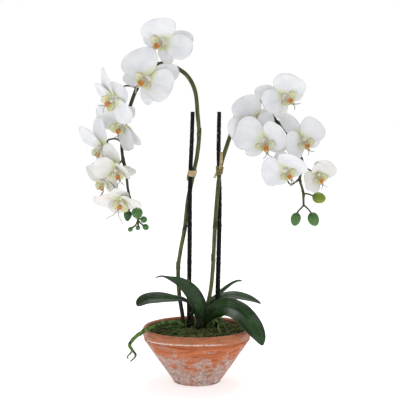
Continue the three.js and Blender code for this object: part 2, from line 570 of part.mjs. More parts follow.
// A bud is an egg, blunt at its stalk and narrower at its tip
function budGeometry(bud) {
  const [length, width] = bud.size;
  const point = bud.point ?? BUD_POINT;
  const profile = Array.from({ length: BUD_ROWS + 1 }, (_, i) => {
    const turn = (i / BUD_ROWS) * Math.PI;
    const fullness = 1 + (point * Math.cos(turn)) / 2;
    return new THREE.Vector2(Math.sin(turn) * (width / 2) * fullness, -Math.cos(turn) * (length / 2));
  });
  profile[0].x = 0;
  profile[BUD_ROWS].x = 0;
  const upright = new THREE.Vector3(0, 1, 0);
  const aim = new THREE.Quaternion().setFromUnitVectors(upright, vector(bud.axis).normalize());
  return new THREE.LatheGeometry(profile, BUD_SIDES).applyQuaternion(aim).translate(...bud.at);
}

// A leaf about its midrib, narrow at the root, with both halves folded up. On the midrib itself the
// normal is the middle of the two halves' normals, so that they meet there.
function leafGeometry(leaf) {
  const rib = new THREE.CatmullRomCurve3(leaf.rib.map(vector), false, 'centripetal');
  const [rootFace, tipFace] = leaf.faces.map(vector);
  const at = (s, v) => {
    const u = s < 0.999 ? Math.sin((s * Math.PI) / 2) : 1;
    const centre = rib.getPointAt(u);
    const along = rib.getTangentAt(u);
    const up = rootFace.clone().lerp(tipFace, Math.min(1, u * 3));
    up.addScaledVector(along, -up.dot(along)).normalize();
    const side = new THREE.Vector3().crossVectors(along, up);
    const shape = Math.max(outline(Math.min(u, 0.995), leaf.rise, leaf.fall), leaf.root * (1 - u));
    const half = Math.max((leaf.width / 2) * shape, LEAF_TIP_WIDTH / 2);
    const fold = rad(leaf.fold) * Math.sign(v);
    centre.addScaledVector(side, half * v * Math.cos(fold)).addScaledVector(up, half * v * Math.sin(fold));
    return { centre, normal: up.multiplyScalar(Math.cos(fold)).addScaledVector(side, -Math.sin(fold)) };
  };
  return blade(at, ...LEAF_GRID, LEAF_THICKNESS);
}

// Crown: the short stem that the leaves and spikes grow round
function crownGeometry() {
  const [x, y] = CROWN_AT;
  const profile = [[0, CROWN_FOOT], [CROWN_RADIUS - 1, CROWN_FOOT], [CROWN_RADIUS, SOIL_TOP],
    [CROWN_RADIUS - 0.4, CROWN_TOP - 14], [CROWN_RADIUS - 2.5, CROWN_TOP - 5], [0, CROWN_TOP]];
  return turned(profile, 12).translate(x, y, 0);
}

// A band round both stems, following them as they lean apart
function tieSolid(side) {
  const tie = TIES[side];
  const stems = [buried(CANES[side], CANE_FOOT), buried(SPIKES[side], SPIKE_FOOT)]
    .map((points) => new THREE.CatmullRomCurve3(points.map(vector), false, 'centripetal').getPoints(600));
  const centresAt = (z) => stems.map((points) => points.find((p) => p.z >= z));
  const loopAt = (z, radius) => Array.from({ length: TIE_SIDES }, (_, j) => {
    const angle = (j / TIE_SIDES) * Math.PI * 2;
    const [cx, cy] = [Math.cos(angle), Math.sin(angle)];
    const reach = (c) => c.x * cx + c.y * cy;
    const far = centresAt(z).reduce((best, c) => (reach(c) > reach(best) ? c : best));
    return new THREE.Vector3(far.x + radius * cx, far.y + radius * cy, z);
  });
  const outer = TIE_BORE_RADIUS + TIE_THICKNESS;
  const heights = [0, 0.5, 1].map((share) => tie.foot + tie.height * share);
  const shell = solidOf(skin(heights.map((z, i) => loopAt(z, outer + (i === 1 ? TIE_BULGE : 0)))));
  const through = [heights[0] - 1, heights[1], heights[2] + 1];
  const bore = solidOf(skin(through.map((z) => loopAt(z, TIE_BORE_RADIUS))));
  const tails = tie.tails.map(({ points, radii }) => limb(points, radii, 5, 3));
  return fuse(tails).add(shell).subtract(bore);
}

function tepalsSolid(bloom) {
  const blades = Object.keys(TEPALS).map((key) => {
    const form = { ...TEPALS[key], ...bloom[key] };
    return tepalGeometry(form, ...(key.startsWith('petal') ? PETAL_GRID : TEPAL_GRID));
  });
  const hub = ellipsoid([0, 0, 0], [HUB.radius, HUB.radius, HUB.depth], 0, 5, 3);
  const column = ellipsoid(COLUMN.at, COLUMN.radii, COLUMN.tilt, 5, 3);
  return fuse([hub, column, ...blades]);
}

function lipSolid(stretch) {
  const lobes = LIP_LOBES.map((form) => tepalGeometry(form, ...(form.angle === 180 ? LIP_GRID : LOBE_GRID)));
  const callus = ellipsoid(CALLUS.at, CALLUS.radii, CALLUS.tilt, 5, 3);
  const tendrils = [-1, 1].map((side) => {
    const root = vector(TENDRIL.root);
    const points = [[0, 0, 0], ...TENDRIL.reach]
      .map((step) => root.clone().addScaledVector(vector(step), stretch));
    return limb(points.map((p) => [side * p.x, p.y, p.z]), [TENDRIL.radius, TENDRIL.radius], 3, 2);
  });
  return fuse([...lobes, callus, ...tendrils]);
}

function placeBloom(bloom) {
  const frame = bloomTurn(bloom).scale(new THREE.Vector3(bloom.size, bloom.size, bloom.size))
    .setPosition(...bloom.at);
  const parts = [['tepals', tepalsSolid(bloom), PETAL], ['lip', lipSolid(bloom.tendril ?? 1), LIP]];
  for (const [kind, solid, material] of parts) {
    const mesh = place(`bloom_${bloom.name}_${kind}`, geometryOf(solid), material);
    frame.decompose(mesh.position, mesh.quaternion, mesh.scale);
  }
}

// The roots of one side, or with extra room the groove that they lie in
function rootSolid(runs, room) {
  return runs.map(({ points, radii }) => solidOf(limb(points, radii.map((r) => r + room), 5, points.length)))
    .reduce((whole, next) => whole.add(next));
}

place('bowl', bowlGeometry(), TERRACOTTA);
place('soil', geometryOf(soilSolid()), SOIL);
const grooves = Object.values(ROOTS).map((runs) => geometryOf(rootSolid(runs, GAP)));
place('moss', geometryOf(mossSolid(grooves)), MOSS);
place('crown', crownGeometry(), LEAF);
for (const leaf of LEAVES) place(`leaf_${leaf.name}`, leafGeometry(leaf), LEAF);
for (const side of ['left', 'right']) {
  place(`cane_${side}`, caneGeometry(side), CANE);
  place(`spike_${side}`, geometryOf(spikeSolid(side)), STEM);
  place(`tie_${side}`, geometryOf(tieSolid(side)), RAFFIA);
  place(`root_${side}`, geometryOf(rootSolid(ROOTS[side], 0)), ROOT);
}
for (const bud of BUDS) place(`bud_${bud.name}`, budGeometry(bud), BUD);
for (const bloom of BLOOMS) placeBloom(bloom);

export default orchid;
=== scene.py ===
"""The looks of a white moth orchid with two flower spikes, in a weathered terracotta bowl.

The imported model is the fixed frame. Every piece here is built in its millimetres, turned to metres
when it becomes a mesh, and stands for the node of the same part. The origin is the centre of the
bowl's foot, +Z is up and -Y is the front.
"""

import functools
import logging
import math
from dataclasses import dataclass, field, replace
from enum import Enum
from typing import Any, Sequence

import bpy
import numpy as np
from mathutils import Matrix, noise


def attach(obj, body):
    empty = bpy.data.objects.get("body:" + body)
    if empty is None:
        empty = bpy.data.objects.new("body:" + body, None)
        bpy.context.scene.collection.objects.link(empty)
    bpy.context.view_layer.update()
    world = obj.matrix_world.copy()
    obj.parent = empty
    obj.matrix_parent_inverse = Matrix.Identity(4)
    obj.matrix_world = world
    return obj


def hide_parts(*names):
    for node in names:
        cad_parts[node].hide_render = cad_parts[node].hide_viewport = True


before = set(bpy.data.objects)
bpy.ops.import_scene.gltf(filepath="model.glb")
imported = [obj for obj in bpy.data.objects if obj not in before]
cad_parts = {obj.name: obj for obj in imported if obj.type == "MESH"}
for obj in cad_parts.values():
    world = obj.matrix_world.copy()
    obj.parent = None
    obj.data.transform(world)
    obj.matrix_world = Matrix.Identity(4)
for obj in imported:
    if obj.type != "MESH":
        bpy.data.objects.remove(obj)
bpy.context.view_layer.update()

LOG = logging.getLogger("orchid")
MM = 0.001
BODY = "root"
SEED = 20
Vec = Sequence[float]
Tree = bpy.types.NodeTree
Socket = bpy.types.NodeSocket


class Slot(Enum):
    """The record's material slots."""

    CLAY = "terracotta"
    BARK = "bark_mix"
    MOSS = "moss"
    LEAF = "leaf"
    STEM = "stem"
    ROOT = "aerial_root"
    PETAL = "petal"
    LIP = "lip"
    BUD = "bud"
    CANE = "cane"
    RAFFIA = "raffia"


class Side(Enum):
    """The two sides of the plant, each with its spike and cane, as the viewer sees them."""

    LEFT = "left"
    RIGHT = "right"


# Curves and forms


def unit(v: np.ndarray) -> np.ndarray:
    """Returns v, or each of its rows, at length one."""
    return v / np.maximum(np.linalg.norm(v, axis=-1, keepdims=True), 1e-9)


def grid(*parts: Any) -> np.ndarray:
    """Returns numbers and arrays, stretched to one shape, as the last axis of one array."""
    return np.stack(np.broadcast_arrays(*parts), -1)


def ring(count: int) -> np.ndarray:
    """Returns this many even angles round a full turn."""
    return np.linspace(0, math.tau, count, endpoint=False)


def turned(radius: Any, turn: Any, z: Any) -> np.ndarray:
    """Returns the points at these radii, angles and heights round the upright axis."""
    return grid(radius * np.cos(turn), radius * np.sin(turn), z)


def spokes(first: np.ndarray, second: np.ndarray, turn: np.ndarray) -> np.ndarray:
    """Returns, for each pair of cross directions, the directions at these angles between them."""
    return first[:, None] * np.cos(turn)[..., None] + second[:, None] * np.sin(turn)[..., None]


def smooth_line(points: Sequence[Vec], steps: int = 16) -> np.ndarray:
    """Runs a centripetal curve through points, as the solid model does.

    Args:
        points: Two or more points in millimetres.
        steps: How many short steps each stretch gets.

    Returns:
        The points of the fine line, one row each.
    """
    line = np.array(points, float)
    line = np.vstack([2 * line[0] - line[1], line, 2 * line[-1] - line[-2]])
    t = np.linspace(0, 1, steps, endpoint=False)[:, None]
    out = []
    for a, b, c, d in zip(line, line[1:], line[2:], line[3:]):
        da, db, dc = (max(np.linalg.norm(q - p) ** 0.5, 1e-6) for p, q in ((a, b), (b, c), (c, d)))
        leave = ((b - a) / da - (c - a) / (da + db) + (c - b) / db) * db
        reach = ((c - b) / db - (d - b) / (db + dc) + (d - c) / dc) * db
        bow, twist = 3 * (c - b) - 2 * leave - reach, 2 * (b - c) + leave + reach
        out.append(b + leave * t + bow * t**2 + twist * t**3)
    return np.vstack([*out, line[-2:-1]])


class Route:
    """A smooth curve through given points, measured along its length."""

    def __init__(self, points: Sequence[Vec]) -> None:
        """Draws the curve and measures it.

        Args:
            points: The places in millimetres that it passes.
        """
        self.line = smooth_line(points)
        self.reach = np.concatenate([[0], np.cumsum(np.linalg.norm(np.diff(self.line, axis=0), axis=1))])
        self.length = float(self.reach[-1])

    def at(self, share: np.ndarray) -> np.ndarray:
        """Returns the points at these shares of the length."""
        return np.stack([np.interp(share * self.length, self.reach, self.line[:, k]) for k in range(3)], -1)

    def tangent(self, share: np.ndarray) -> np.ndarray:
        """Returns the unit directions at these shares of the length."""
        step = 0.4 / self.length
        return unit(self.at(np.minimum(share + step, 1)) - self.at(np.maximum(share - step, 0)))

    def frames(self, share: np.ndarray) -> tuple[np.ndarray, np.ndarray]:
        """Carries a pair of cross directions along the curve without twisting them.

        Args:
            share: Rising shares of the length.

        Returns:
            Two arrays of unit directions, square to the curve and to each other.
        """
        tangents = self.tangent(share)
        first = np.eye(3)[int(np.argmin(np.abs(tangents[0])))]
        normals = []
        for tangent in tangents:
            first = unit(first - tangent * (first @ tangent))
            normals.append(first)
        return np.array(normals), np.cross(tangents, normals)


def planted(points: Sequence[Vec], foot: float) -> Route:
    """Returns the route of a stem that stands straight down below its first point, to a foot's height."""
    x, y, z = points[0]
    return Route([(x, y, foot), (x, y, (foot + z) / 2), *points])


def ripple(points: np.ndarray, size: float, seed: float = 0.0) -> np.ndarray:
    """Samples smooth noise.

    Args:
        points: Places in millimetres, in any shape that ends in 3.
        size: How wide one lump of the noise is, in millimetres.
        seed: Shifts the noise, so that two pieces differ.

    Returns:
        A value from about -1 to 1 for each place.
    """
    flat = points.reshape(-1, 3) / size + seed
    return np.fromiter((noise.noise(p) for p in flat), float, len(flat)).reshape(points.shape[:-1])


def outline(u: np.ndarray, rise: float, fall: float) -> np.ndarray:
    """Returns a blade's half-width at u along it, as a share of its greatest."""
    peak = rise / (rise + fall)
    return u**rise * (1 - u) ** fall / (peak**rise * (1 - peak) ** fall)


def eased(count: int) -> np.ndarray:
    """Returns places from 0 to 1 along a blade, closer together towards its tip."""
    return np.sin(np.linspace(0, 1, count + 1) * math.pi / 2)


def crowded(count: int, bunch: float) -> np.ndarray:
    """Returns places from -1 to 1 across a blade, closer together towards its edges."""
    return np.sin(np.linspace(-1, 1, count + 1) * bunch) / math.sin(bunch)


def edge_wave(u: Any, v: Any, size: float, turns: float, lag: float, phase: float) -> np.ndarray:
    """Returns how far a blade strays towards its edge at u along and v across, in turns waves."""
    return size * np.abs(v) ** 3 * np.sin(math.tau * (turns * u + lag * np.sign(v)) + phase) * np.sqrt(u)


def egg(radii: Vec, rows: int, sides: int, axes: np.ndarray | None = None) -> np.ndarray:
    """Returns the rings of an egg-shaped form round the origin.

    Args:
        radii: Its half-sizes along its own axes.
        rows: Rings from pole to pole.
        sides: Corners of each ring.
        axes: A 3 by 3 matrix whose columns are its own axes.

    Returns:
        Rows by sides by 3.
    """
    lat = np.linspace(0.04, 0.96, rows)[:, None] * math.pi
    local = turned(np.sin(lat), ring(sides), -np.cos(lat)) * radii
    return local if axes is None else local @ axes.T


class Heap:
    """The points and faces of one piece, gathered form by form in millimetres.

    Each point carries a mark of three numbers that its finish reads: usually how far along the form
    it is, how far across, and which face or kind it belongs to.
    """

    # How far each of a limb's last rings is from its end, in radii there, and their shares of that radius
    ROUND_TIP = ((0.95, 0.99), (0.62, 0.9), (0.3, 0.66), (0.02, 0.2))
    FLAT_CUT = ((0.4, 1.0), (0.15, 0.98), (0.03, 0.9), (0.0, 0.8))

    def __init__(self) -> None:
        """Starts an empty heap."""
        self.points: list[np.ndarray] = []
        self.marks: list[np.ndarray] = []
        self.flush: list[np.ndarray] = []
        self.faces: list[tuple[int, ...]] = []
        self.count = 0

    def sleeve(self, points: np.ndarray, marks: Any = 0.0, ends: bool = True, flush: Any = 0.0) -> np.ndarray:
        """Adds rings of points, joined by quads.

        Args:
            points: Rings by points by 3.
            marks: The same shape, or one that stretches to it.
            ends: True closes both ends with a face.
            flush: How pink each point is, from 0 to 1.

        Returns:
            The points' numbers, rings by points.
        """
        rows, columns = points.shape[:2]
        index = self.count + np.arange(rows * columns).reshape(rows, columns)
        self.count += rows * columns
        self.points.append(points.reshape(-1, 3))
        self.marks.append(np.broadcast_to(marks, points.shape).reshape(-1, 3))
        self.flush.append(np.broadcast_to(flush, (rows, columns)).ravel())
        loop = np.hstack([index, index[:, :1]])
        cells = np.stack([loop[:-1, :-1], loop[:-1, 1:], loop[1:, 1:], loop[1:, :-1]], -1)
        self.faces.extend(map(tuple, cells.reshape(-1, 4).tolist()))
        if ends:
            self.faces.extend((tuple(index[0, ::-1].tolist()), tuple(index[-1].tolist())))
        return index

    def limb(self, route: Route, radii: Vec, sides: int, step: float, tones: Sequence[Vec] = ((0, 0),),
             lumps: float = 0.0, lump_size: float = 6.0, swell: Sequence[Vec] = (),
             cut: bool = False) -> None:
        """Adds a round limb along a route, its radius running evenly through a list.

        Args:
            route: The limb's middle line.
            radii: Radii in millimetres, from one end to the other.
            sides: Corners of its section.
            step: About how long one ring is, in millimetres.
            tones: The third mark, as (share of the length, mark) in order along the route.
            lumps: How far the surface strays, as a share of the radius.
            lump_size: How wide the lumps are, in millimetres.
            swell: Thicker places, each as millimetres along, half-width and extra share of the radius.
            cut: True ends it in a flat cut with a narrow bevel, False in a round tip.
        """
        ease, shrink = np.array(self.FLAT_CUT if cut else self.ROUND_TIP).T
        tail = 1 - ease * radii[-1] / route.length
        share = np.linspace(0, 1, max(3, round(route.length / step) + 1))
        share = np.concatenate([share[share < tail[0]], tail])
        radius = np.interp(share, np.linspace(0, 1, len(radii)), radii)
        radius[-len(tail):] = radii[-1] * shrink
        along = share * route.length
        for place, width, extra in swell:
            radius = radius * (1 + extra * np.exp(-(((along - place) / width) ** 2)))
        centres, spoke = route.at(share)[:, None], spokes(*route.frames(share), ring(sides))
        rings = spoke * radius[:, None, None]
        if lumps:
            rings = rings * (1 + lumps * ripple(centres + rings, lump_size))[..., None]
        self.sleeve(centres + rings, grid(along, 0, np.interp(share, *zip(*tones)))[:, None])

    def ball(self, centre: Vec, radii: Vec, rows: int, sides: int, kind: float = 0.0) -> None:
        """Adds an egg-shaped form, with kind as its third mark."""
        self.sleeve(egg(radii, rows, sides) + centre, grid(np.linspace(0.04, 0.96, rows), 0, kind)[:, None])

    def blade(self, centre: np.ndarray, normal: np.ndarray, thickness: np.ndarray, marks: np.ndarray,
              flush: Any = 0.0) -> None:
        """Adds a thin closed blade with an upper and an under face.

        Args:
            centre: Rows by columns by 3, its middle surface.
            normal: The way the upper face looks, at each of those points.
            thickness: Rows by columns, in millimetres.
            marks: The upper face's marks. The under face takes the same, with 0 in the third place.
            flush: Rows by columns, how pink the blade is.
        """
        half = normal * thickness[..., None] / 2
        top, flush = np.broadcast_to(marks, centre.shape), np.broadcast_to(flush, centre.shape[:2])
        index = self.sleeve(np.hstack([centre + half, (centre - half)[:, ::-1]]),
                            np.hstack([top, (top * (1, 1, 0))[:, ::-1]]), False,
                            np.hstack([flush, flush[:, ::-1]]))
        last = index.shape[1] - 1
        for j in range(centre.shape[1] - 1):
            near, far = index[0], index[-1]
            self.faces.append((far[j], far[j + 1], far[last - j - 1], far[last - j]))
            self.faces.append((near[last - j], near[last - j - 1], near[j + 1], near[j]))

    def moved(self, turn: np.ndarray, at: Vec) -> "Heap":
        """Turns all the points by a 3 by 3 matrix, shifts them, and returns the heap."""
        self.points = [p @ turn.T + np.array(at, float) for p in self.points]
        return self

    def piece(self, name: str, finish: "Finish", slot: Slot, *stands_for: str) -> None:
        """Makes the mesh, dresses it and ties it to the frame.

        Args:
            name: The piece's plain name.
            finish: What its surface is.
            slot: The record's slot for the piece; not used.
            stands_for: The nodes that it replaces.
        """
        mesh = bpy.data.meshes.new(name)
        mesh.from_pydata((np.concatenate(self.points) * MM).tolist(), [], self.faces)
        layer = mesh.attributes.new("grain", "FLOAT_VECTOR", "POINT")
        layer.data.foreach_set("vector", np.concatenate(self.marks).astype(np.float32).ravel())
        if any(f.any() for f in self.flush):
            mesh.attributes.new("flush", "FLOAT", "POINT").data.foreach_set(
                "value", np.concatenate(self.flush).astype(np.float32))
        mesh.shade_smooth()
        mesh.materials.append(dressing(finish))
        piece = bpy.data.objects.new(name, mesh)
        bpy.context.scene.collection.objects.link(piece)
        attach(piece, BODY)
        if stands_for:
            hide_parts(*stands_for)
        LOG.info("%s: %d faces", name, len(self.faces))


# Finishes


def linear(colour: str) -> tuple[float, float, float, float]:
    """Turns an sRGB hex colour into linear red, green, blue and alpha."""
    shares = [int(colour[i:i + 2], 16) / 255 for i in (1, 3, 5)]
    return (*(c / 12.92 if c <= 0.04045 else ((c + 0.055) / 1.055) ** 2.4 for c in shares), 1.0)


def add(tree: Tree, kind: str, *values: Any, inputs: dict[str, Any] | None = None, out: int | str = 0,
        **settings: Any) -> Socket | None:
    """Adds one shader node with its settings and links.

    Args:
        tree: The material's nodes.
        kind: The node's type, without "ShaderNode".
        values: For the inputs that the node shows, in order, a number, a hex colour or a socket.
        inputs: The same for inputs by name.
        out: The name or number of the output that is wanted.
        settings: The node's own properties.

    Returns:
        That output, or None from a node without one.
    """
    node = tree.nodes.new("ShaderNode" + kind)
    for key, value in settings.items():
        setattr(node, key, value)
    shown = [socket for socket in node.inputs if socket.enabled]
    named = [(node.inputs[key], value) for key, value in (inputs or {}).items()]
    for socket, value in [*zip(shown, values), *named]:
        if isinstance(value, Socket):
            tree.links.new(value, socket)
        else:
            socket.default_value = linear(value) if isinstance(value, str) else value
    outputs = [socket for socket in node.outputs if socket.enabled]
    return {key: socket for i, socket in enumerate(outputs) for key in (i, socket.name)}.get(out)


def place(tree: Tree, axis: int) -> Socket:
    """Returns the point's place on the object along X, Y or Z, in metres."""
    return add(tree, "SeparateXYZ", add(tree, "TexCoord", out="Object"), out=axis)


def grain(tree: Tree) -> list[Socket]:
    """Returns the three numbers that each point carries."""
    carried = add(tree, "Attribute", out="Vector", attribute_name="grain")
    return [add(tree, "SeparateXYZ", carried, out=i) for i in range(3)]


def speckle(tree: Tree, size_mm: float, detail: float = 3.0, rough: float = 0.55, stretch: Vec = (1, 1, 1),
            torn: float = 0.0) -> Socket:
    """Samples noise whose lumps are size_mm wide on the object.

    Args:
        tree: The material's nodes.
        size_mm: How wide one lump is.
        detail: How many finer layers it has.
        rough: How strong those are.
        stretch: How much finer it is along X, Y and Z.
        torn: How far the lumps are pulled out of shape.

    Returns:
        A socket from 0 to 1, about 0.5 on the whole.
    """
    spread = add(tree, "Mapping", add(tree, "TexCoord", out="Object"), inputs={"Scale": stretch})
    return add(tree, "TexNoise", spread, inputs={"Scale": 1 / (size_mm * MM), "Detail": detail,
                                                 "Roughness": rough, "Distortion": torn})


def veining(tree: Tree, count: float, slant: float, sway: float, detail: float, fine: float = 1.0) -> Socket:
    """Samples veins that keep to an equal share across a blade and so meet at its root.

    Args:
        tree: The material's nodes.
        count: About how many there are across the blade.
        slant: How far they lean out towards the tip.
        sway: How far they wander.
        detail: How many finer layers the wandering has.
        fine: How fine those are.

    Returns:
        A socket from 0 between veins to 1 on them.
    """
    along, across, _ = grain(tree)
    fan = add(tree, "CombineXYZ", across, total(tree, 0, (along, slant)))
    return add(tree, "TexWave", fan, count * math.tau / 40, sway, detail, fine, out="Fac")


def total(tree: Tree, start: float, *terms: tuple[Socket, float]) -> Socket:
    """Adds up weighted values.

    Args:
        tree: The material's nodes.
        start: What the sum starts from.
        terms: Each value and its weight.

    Returns:
        The sum.
    """
    for value, weight in terms:
        start = add(tree, "Math", value, weight, start, operation="MULTIPLY_ADD")
    return start


def apart(tree: Tree, value: Socket, middle: float = 0.0) -> Socket:
    """Returns how far a value is from a middle, either way."""
    return add(tree, "Math", total(tree, -middle, (value, 1)), operation="ABSOLUTE")


def ramped(tree: Tree, most: Any, *ramps: tuple[Socket, float, float]) -> Socket:
    """Multiplies smooth ramps.

    Args:
        tree: The material's nodes.
        most: The result where every ramp is at its top, a number or a socket.
        ramps: For each, the value that it follows, where it leaves 0 and where it reaches 1.

    Returns:
        A socket from 0 to most.
    """
    for value, low, high in ramps:
        most = add(tree, "MapRange", value, low, high, 0.0, most, interpolation_type="SMOOTHSTEP")
    return most


def coat(tree: Tree, under: Any, over: Any, most: Any, *ramps: tuple[Socket, float, float]) -> Socket:
    """Returns a colour with another laid over it as far as smooth ramps let it, by ramped()."""
    return add(tree, "Mix", ramped(tree, most, *ramps), under, over, data_type="RGBA")


def relief(tree: Tree, *layers: tuple[Socket, float]) -> Socket:
    """Bends the surface by heights.

    Args:
        tree: The material's nodes.
        layers: Each height, from 0 to 1, and its depth in millimetres.

    Returns:
        The bent normal.
    """
    under: dict[str, Socket] = {}
    for height, depth_mm in layers:
        bump = {"Strength": 1.0, "Height": height, "Distance": depth_mm * MM}
        under = {"Normal": add(tree, "Bump", inputs={**bump, **under})}
    return under["Normal"]


@dataclass(frozen=True)
class Finish:
    """What a surface is made of. A subclass says how it looks."""

    label: str

    def shade(self, tree: Tree) -> dict[str, Any]:
        """Lays out the surface.

        Args:
            tree: The material's nodes.

        Returns:
            The Principled shader's inputs.
        """
        raise NotImplementedError


@functools.cache
def dressing(finish: Finish) -> bpy.types.Material:
    """Makes the material of a finish, once.

    Args:
        finish: What the surface is.

    Returns:
        Its material.
    """
    material = bpy.data.materials.new(finish.label)
    material.use_nodes = True
    tree = material.node_tree
    tree.nodes.clear()
    add(tree, "OutputMaterial", add(tree, "BsdfPrincipled", inputs=finish.shade(tree)))
    return material


@dataclass(frozen=True)
class WeatheredTerracotta(Finish):
    """Wheel-turned earthenware, fired unglazed and left outdoors: matt orange clay, its rim browned and
    smoothed by hands and water, with lime and algae that damp has drawn out over the lower wall."""

    clay: str = "#c47348"
    clay_deep: str = "#a45129"
    lime: str = "#b0948a"
    chalk: str = "#d9d0cc"
    lime_and_highlight: str = "#efe4dd"
    algae: str = "#6d5b45"
    handled: str = "#96704f"
    soiled: str = "#6d4534"
    patch_mm: float = 24.0
    mottle_mm: float = 6.5
    flake_mm: float = 8.0
    stain_mm: float = 13.0
    streak_mm: float = 9.0
    grit_mm: float = 1.1

    def shade(self, tree: Tree) -> dict[str, Any]:
        """Returns the Principled shader's inputs."""
        height, _, inside = grain(tree)
        x, y = place(tree, 0), place(tree, 1)
        patches = speckle(tree, self.patch_mm, 5, 0.6, (1, 1, 1.4), 0.7)
        mottle = speckle(tree, self.mottle_mm, 5, 0.7, torn=1.1)
        flakes = speckle(tree, self.flake_mm, 5, 0.68, (1, 1, 1.2), 0.6)
        stains = speckle(tree, self.stain_mm, 5, 0.7, (1, 1, 0.8), 1.0)
        # Turning leaves level streaks, drawn out round the bowl
        streaks = speckle(tree, self.streak_mm, 4, 0.6, (0.35, 0.35, 2.4))
        colour = coat(tree, self.clay, self.clay_deep, 1.0, (streaks, 0.38, 0.68))
        # Lime gathers low on the wall and towards its sides, so the place moves the edge of its patches
        rise = add(tree, "MapRange", height, 92.0, 22.0, -0.34, 0.24)
        lean = add(tree, "MapRange", apart(tree, x, 0.012), 0.025, 0.085, -0.05, 0.14)
        damp = total(tree, -0.65, (patches, 1.5), (mottle, 0.8), (rise, 1), (lean, 1))
        colour = coat(tree, colour, self.lime, 0.9, (damp, 0.34, 0.66))
        colour = coat(tree, colour, self.chalk, 0.8, (flakes, 0.45, 0.68), (damp, 0.4, 0.66))
        colour = coat(tree, colour, self.algae, 0.8, (stains, 0.52, 0.62), (height, 58.0, 14.0))
        # The browned rim, which is smoother too
        colour = coat(tree, colour, self.handled, 0.5, (height, 89.0, 93.0), (mottle, 0.42, 0.6))
        # A thin white line hangs round the front of the rim, lower towards its ends: partly lime, partly a
        # painted highlight on the rim's rounded lower edge
        line = apart(tree, total(tree, 0, (y, 95.0), (height, 1)), 82.5)
        colour = coat(tree, colour, self.lime_and_highlight, 0.9, (line, 1.9, 0.3), (x, 0.068, 0.03), (y, -0.03, -0.045),
                      (flakes, 0.36, 0.56), (inside, 1.0, 0.0))
        colour = coat(tree, colour, self.soiled, 0.6, (inside, 0.3, 1.0))
        rubbed = add(tree, "MapRange", height, 84.0, 94.0, 0.86, 0.5)
        return {"Base Color": colour, "Roughness": rubbed, "IOR": 1.5,
                "Normal": relief(tree, (speckle(tree, self.grit_mm, 3, 0.6), 0.35), (damp, 0.5))}


@dataclass(frozen=True)
class PetalTissue(Finish):
    """Living petal tissue, grown: velvety cells over air-filled flesh, which the eye reads as a cool,
    softly glowing white with faint veins fanning from the claw."""

    flesh: str = "#f1f2f4"
    shade_tone: str = "#e1e3e9"
    edge: str = "#c9c6c0"
    throat: str = "#dbe2ab"
    throat_reach: float = 0.36
    back: str = "#e9eae5"
    vein: str = "#cfd2da"
    blush: str = "#e3b4bd"
    veins: float = 15.0
    cloud_mm: float = 24.0
    fold_mm: float = 19.0
    cell_mm: float = 0.9

    def shade(self, tree: Tree) -> dict[str, Any]:
        """Returns the Principled shader's inputs."""
        along, across, face = grain(tree)
        cloud = speckle(tree, self.cloud_mm, 3, 0.5)
        fan = veining(tree, self.veins, 0.25, 3.4, 3.0, 1.4)
        lines = ramped(tree, 0.18, (fan, 0.6, 1.0), (along, 0.9, 0.1))
        rim = add(tree, "Math", apart(tree, across), along, operation="MAXIMUM")
        flush = add(tree, "Attribute", out="Fac", attribute_name="flush")
        colour = coat(tree, self.flesh, self.shade_tone, 0.6, (cloud, 0.38, 0.66))
        # Painted shade greys the rim of each blade, where its edge curls back
        colour = coat(tree, colour, self.edge, 0.6, (rim, 0.93, 1.0))
        colour = coat(tree, colour, self.vein, lines)
        colour = coat(tree, colour, self.throat, 0.85, (along, self.throat_reach, 0.02))
        colour = coat(tree, colour, self.back, 0.8, (face, 0.6, 0.4))
        colour = coat(tree, colour, self.blush, flush, (cloud, 0.3, 0.6))
        cells, folds = speckle(tree, self.cell_mm, 2), speckle(tree, self.fold_mm, 2, 0.45)
        return {"Base Color": colour, "Roughness": 0.5, "IOR": 1.4,
                "Normal": relief(tree, (cells, 0.1), (folds, 3.4), (lines, 0.25)), "Subsurface Weight": 0.25,
                "Subsurface Radius": (1.0, 0.95, 0.9), "Subsurface Scale": 0.0016, "Sheen Weight": 0.1,
                "Sheen Roughness": 0.5}


@dataclass(frozen=True)
class LipTissue(Finish):
    """The lip's waxy tissue, grown: cream blades, stained orange where they meet the callus and freckled
    with dull pink, glossier than the petals. Its third mark is 1 on the middle lobe, 0.2 on the side
    lobes and -1 on the tendrils."""

    cream: str = "#e9e6d3"
    lime: str = "#d2da8c"
    stain: str = "#dfa35c"
    freckle: str = "#8f5a48"
    tendril: str = "#beb8b2"
    freckle_mm: float = 1.8
    cloud_mm: float = 5.0
    cell_mm: float = 1.2

    def shade(self, tree: Tree) -> dict[str, Any]:
        """Returns the Principled shader's inputs."""
        along, across, kind = grain(tree)
        freckles, clouds = speckle(tree, self.freckle_mm, 1, 0.4), speckle(tree, self.cloud_mm, 3, 0.5)
        side = (kind, 0.6, 0.4)
        colour = coat(tree, self.cream, self.lime, 1.0, side, (clouds, 0.58, 0.38))
        colour = coat(tree, colour, self.stain, 0.35, (kind, 0.6, 0.9), (along, 0.5, 0.2))
        colour = coat(tree, colour, self.freckle, 0.8, (freckles, 0.55, 0.63), (along, 0.75, 0.3))
        colour = coat(tree, colour, self.freckle, 0.55, side, (apart(tree, across), 0.78, 1.0))
        colour = coat(tree, colour, self.tendril, 1.0, (kind, -0.2, -0.8))
        return {"Base Color": colour, "Roughness": 0.4, "IOR": 1.42,
                "Normal": relief(tree, (speckle(tree, self.cell_mm, 2), 0.15)), "Subsurface Weight": 0.2,
                "Subsurface Radius": (1.0, 0.8, 0.4), "Subsurface Scale": 0.0014}


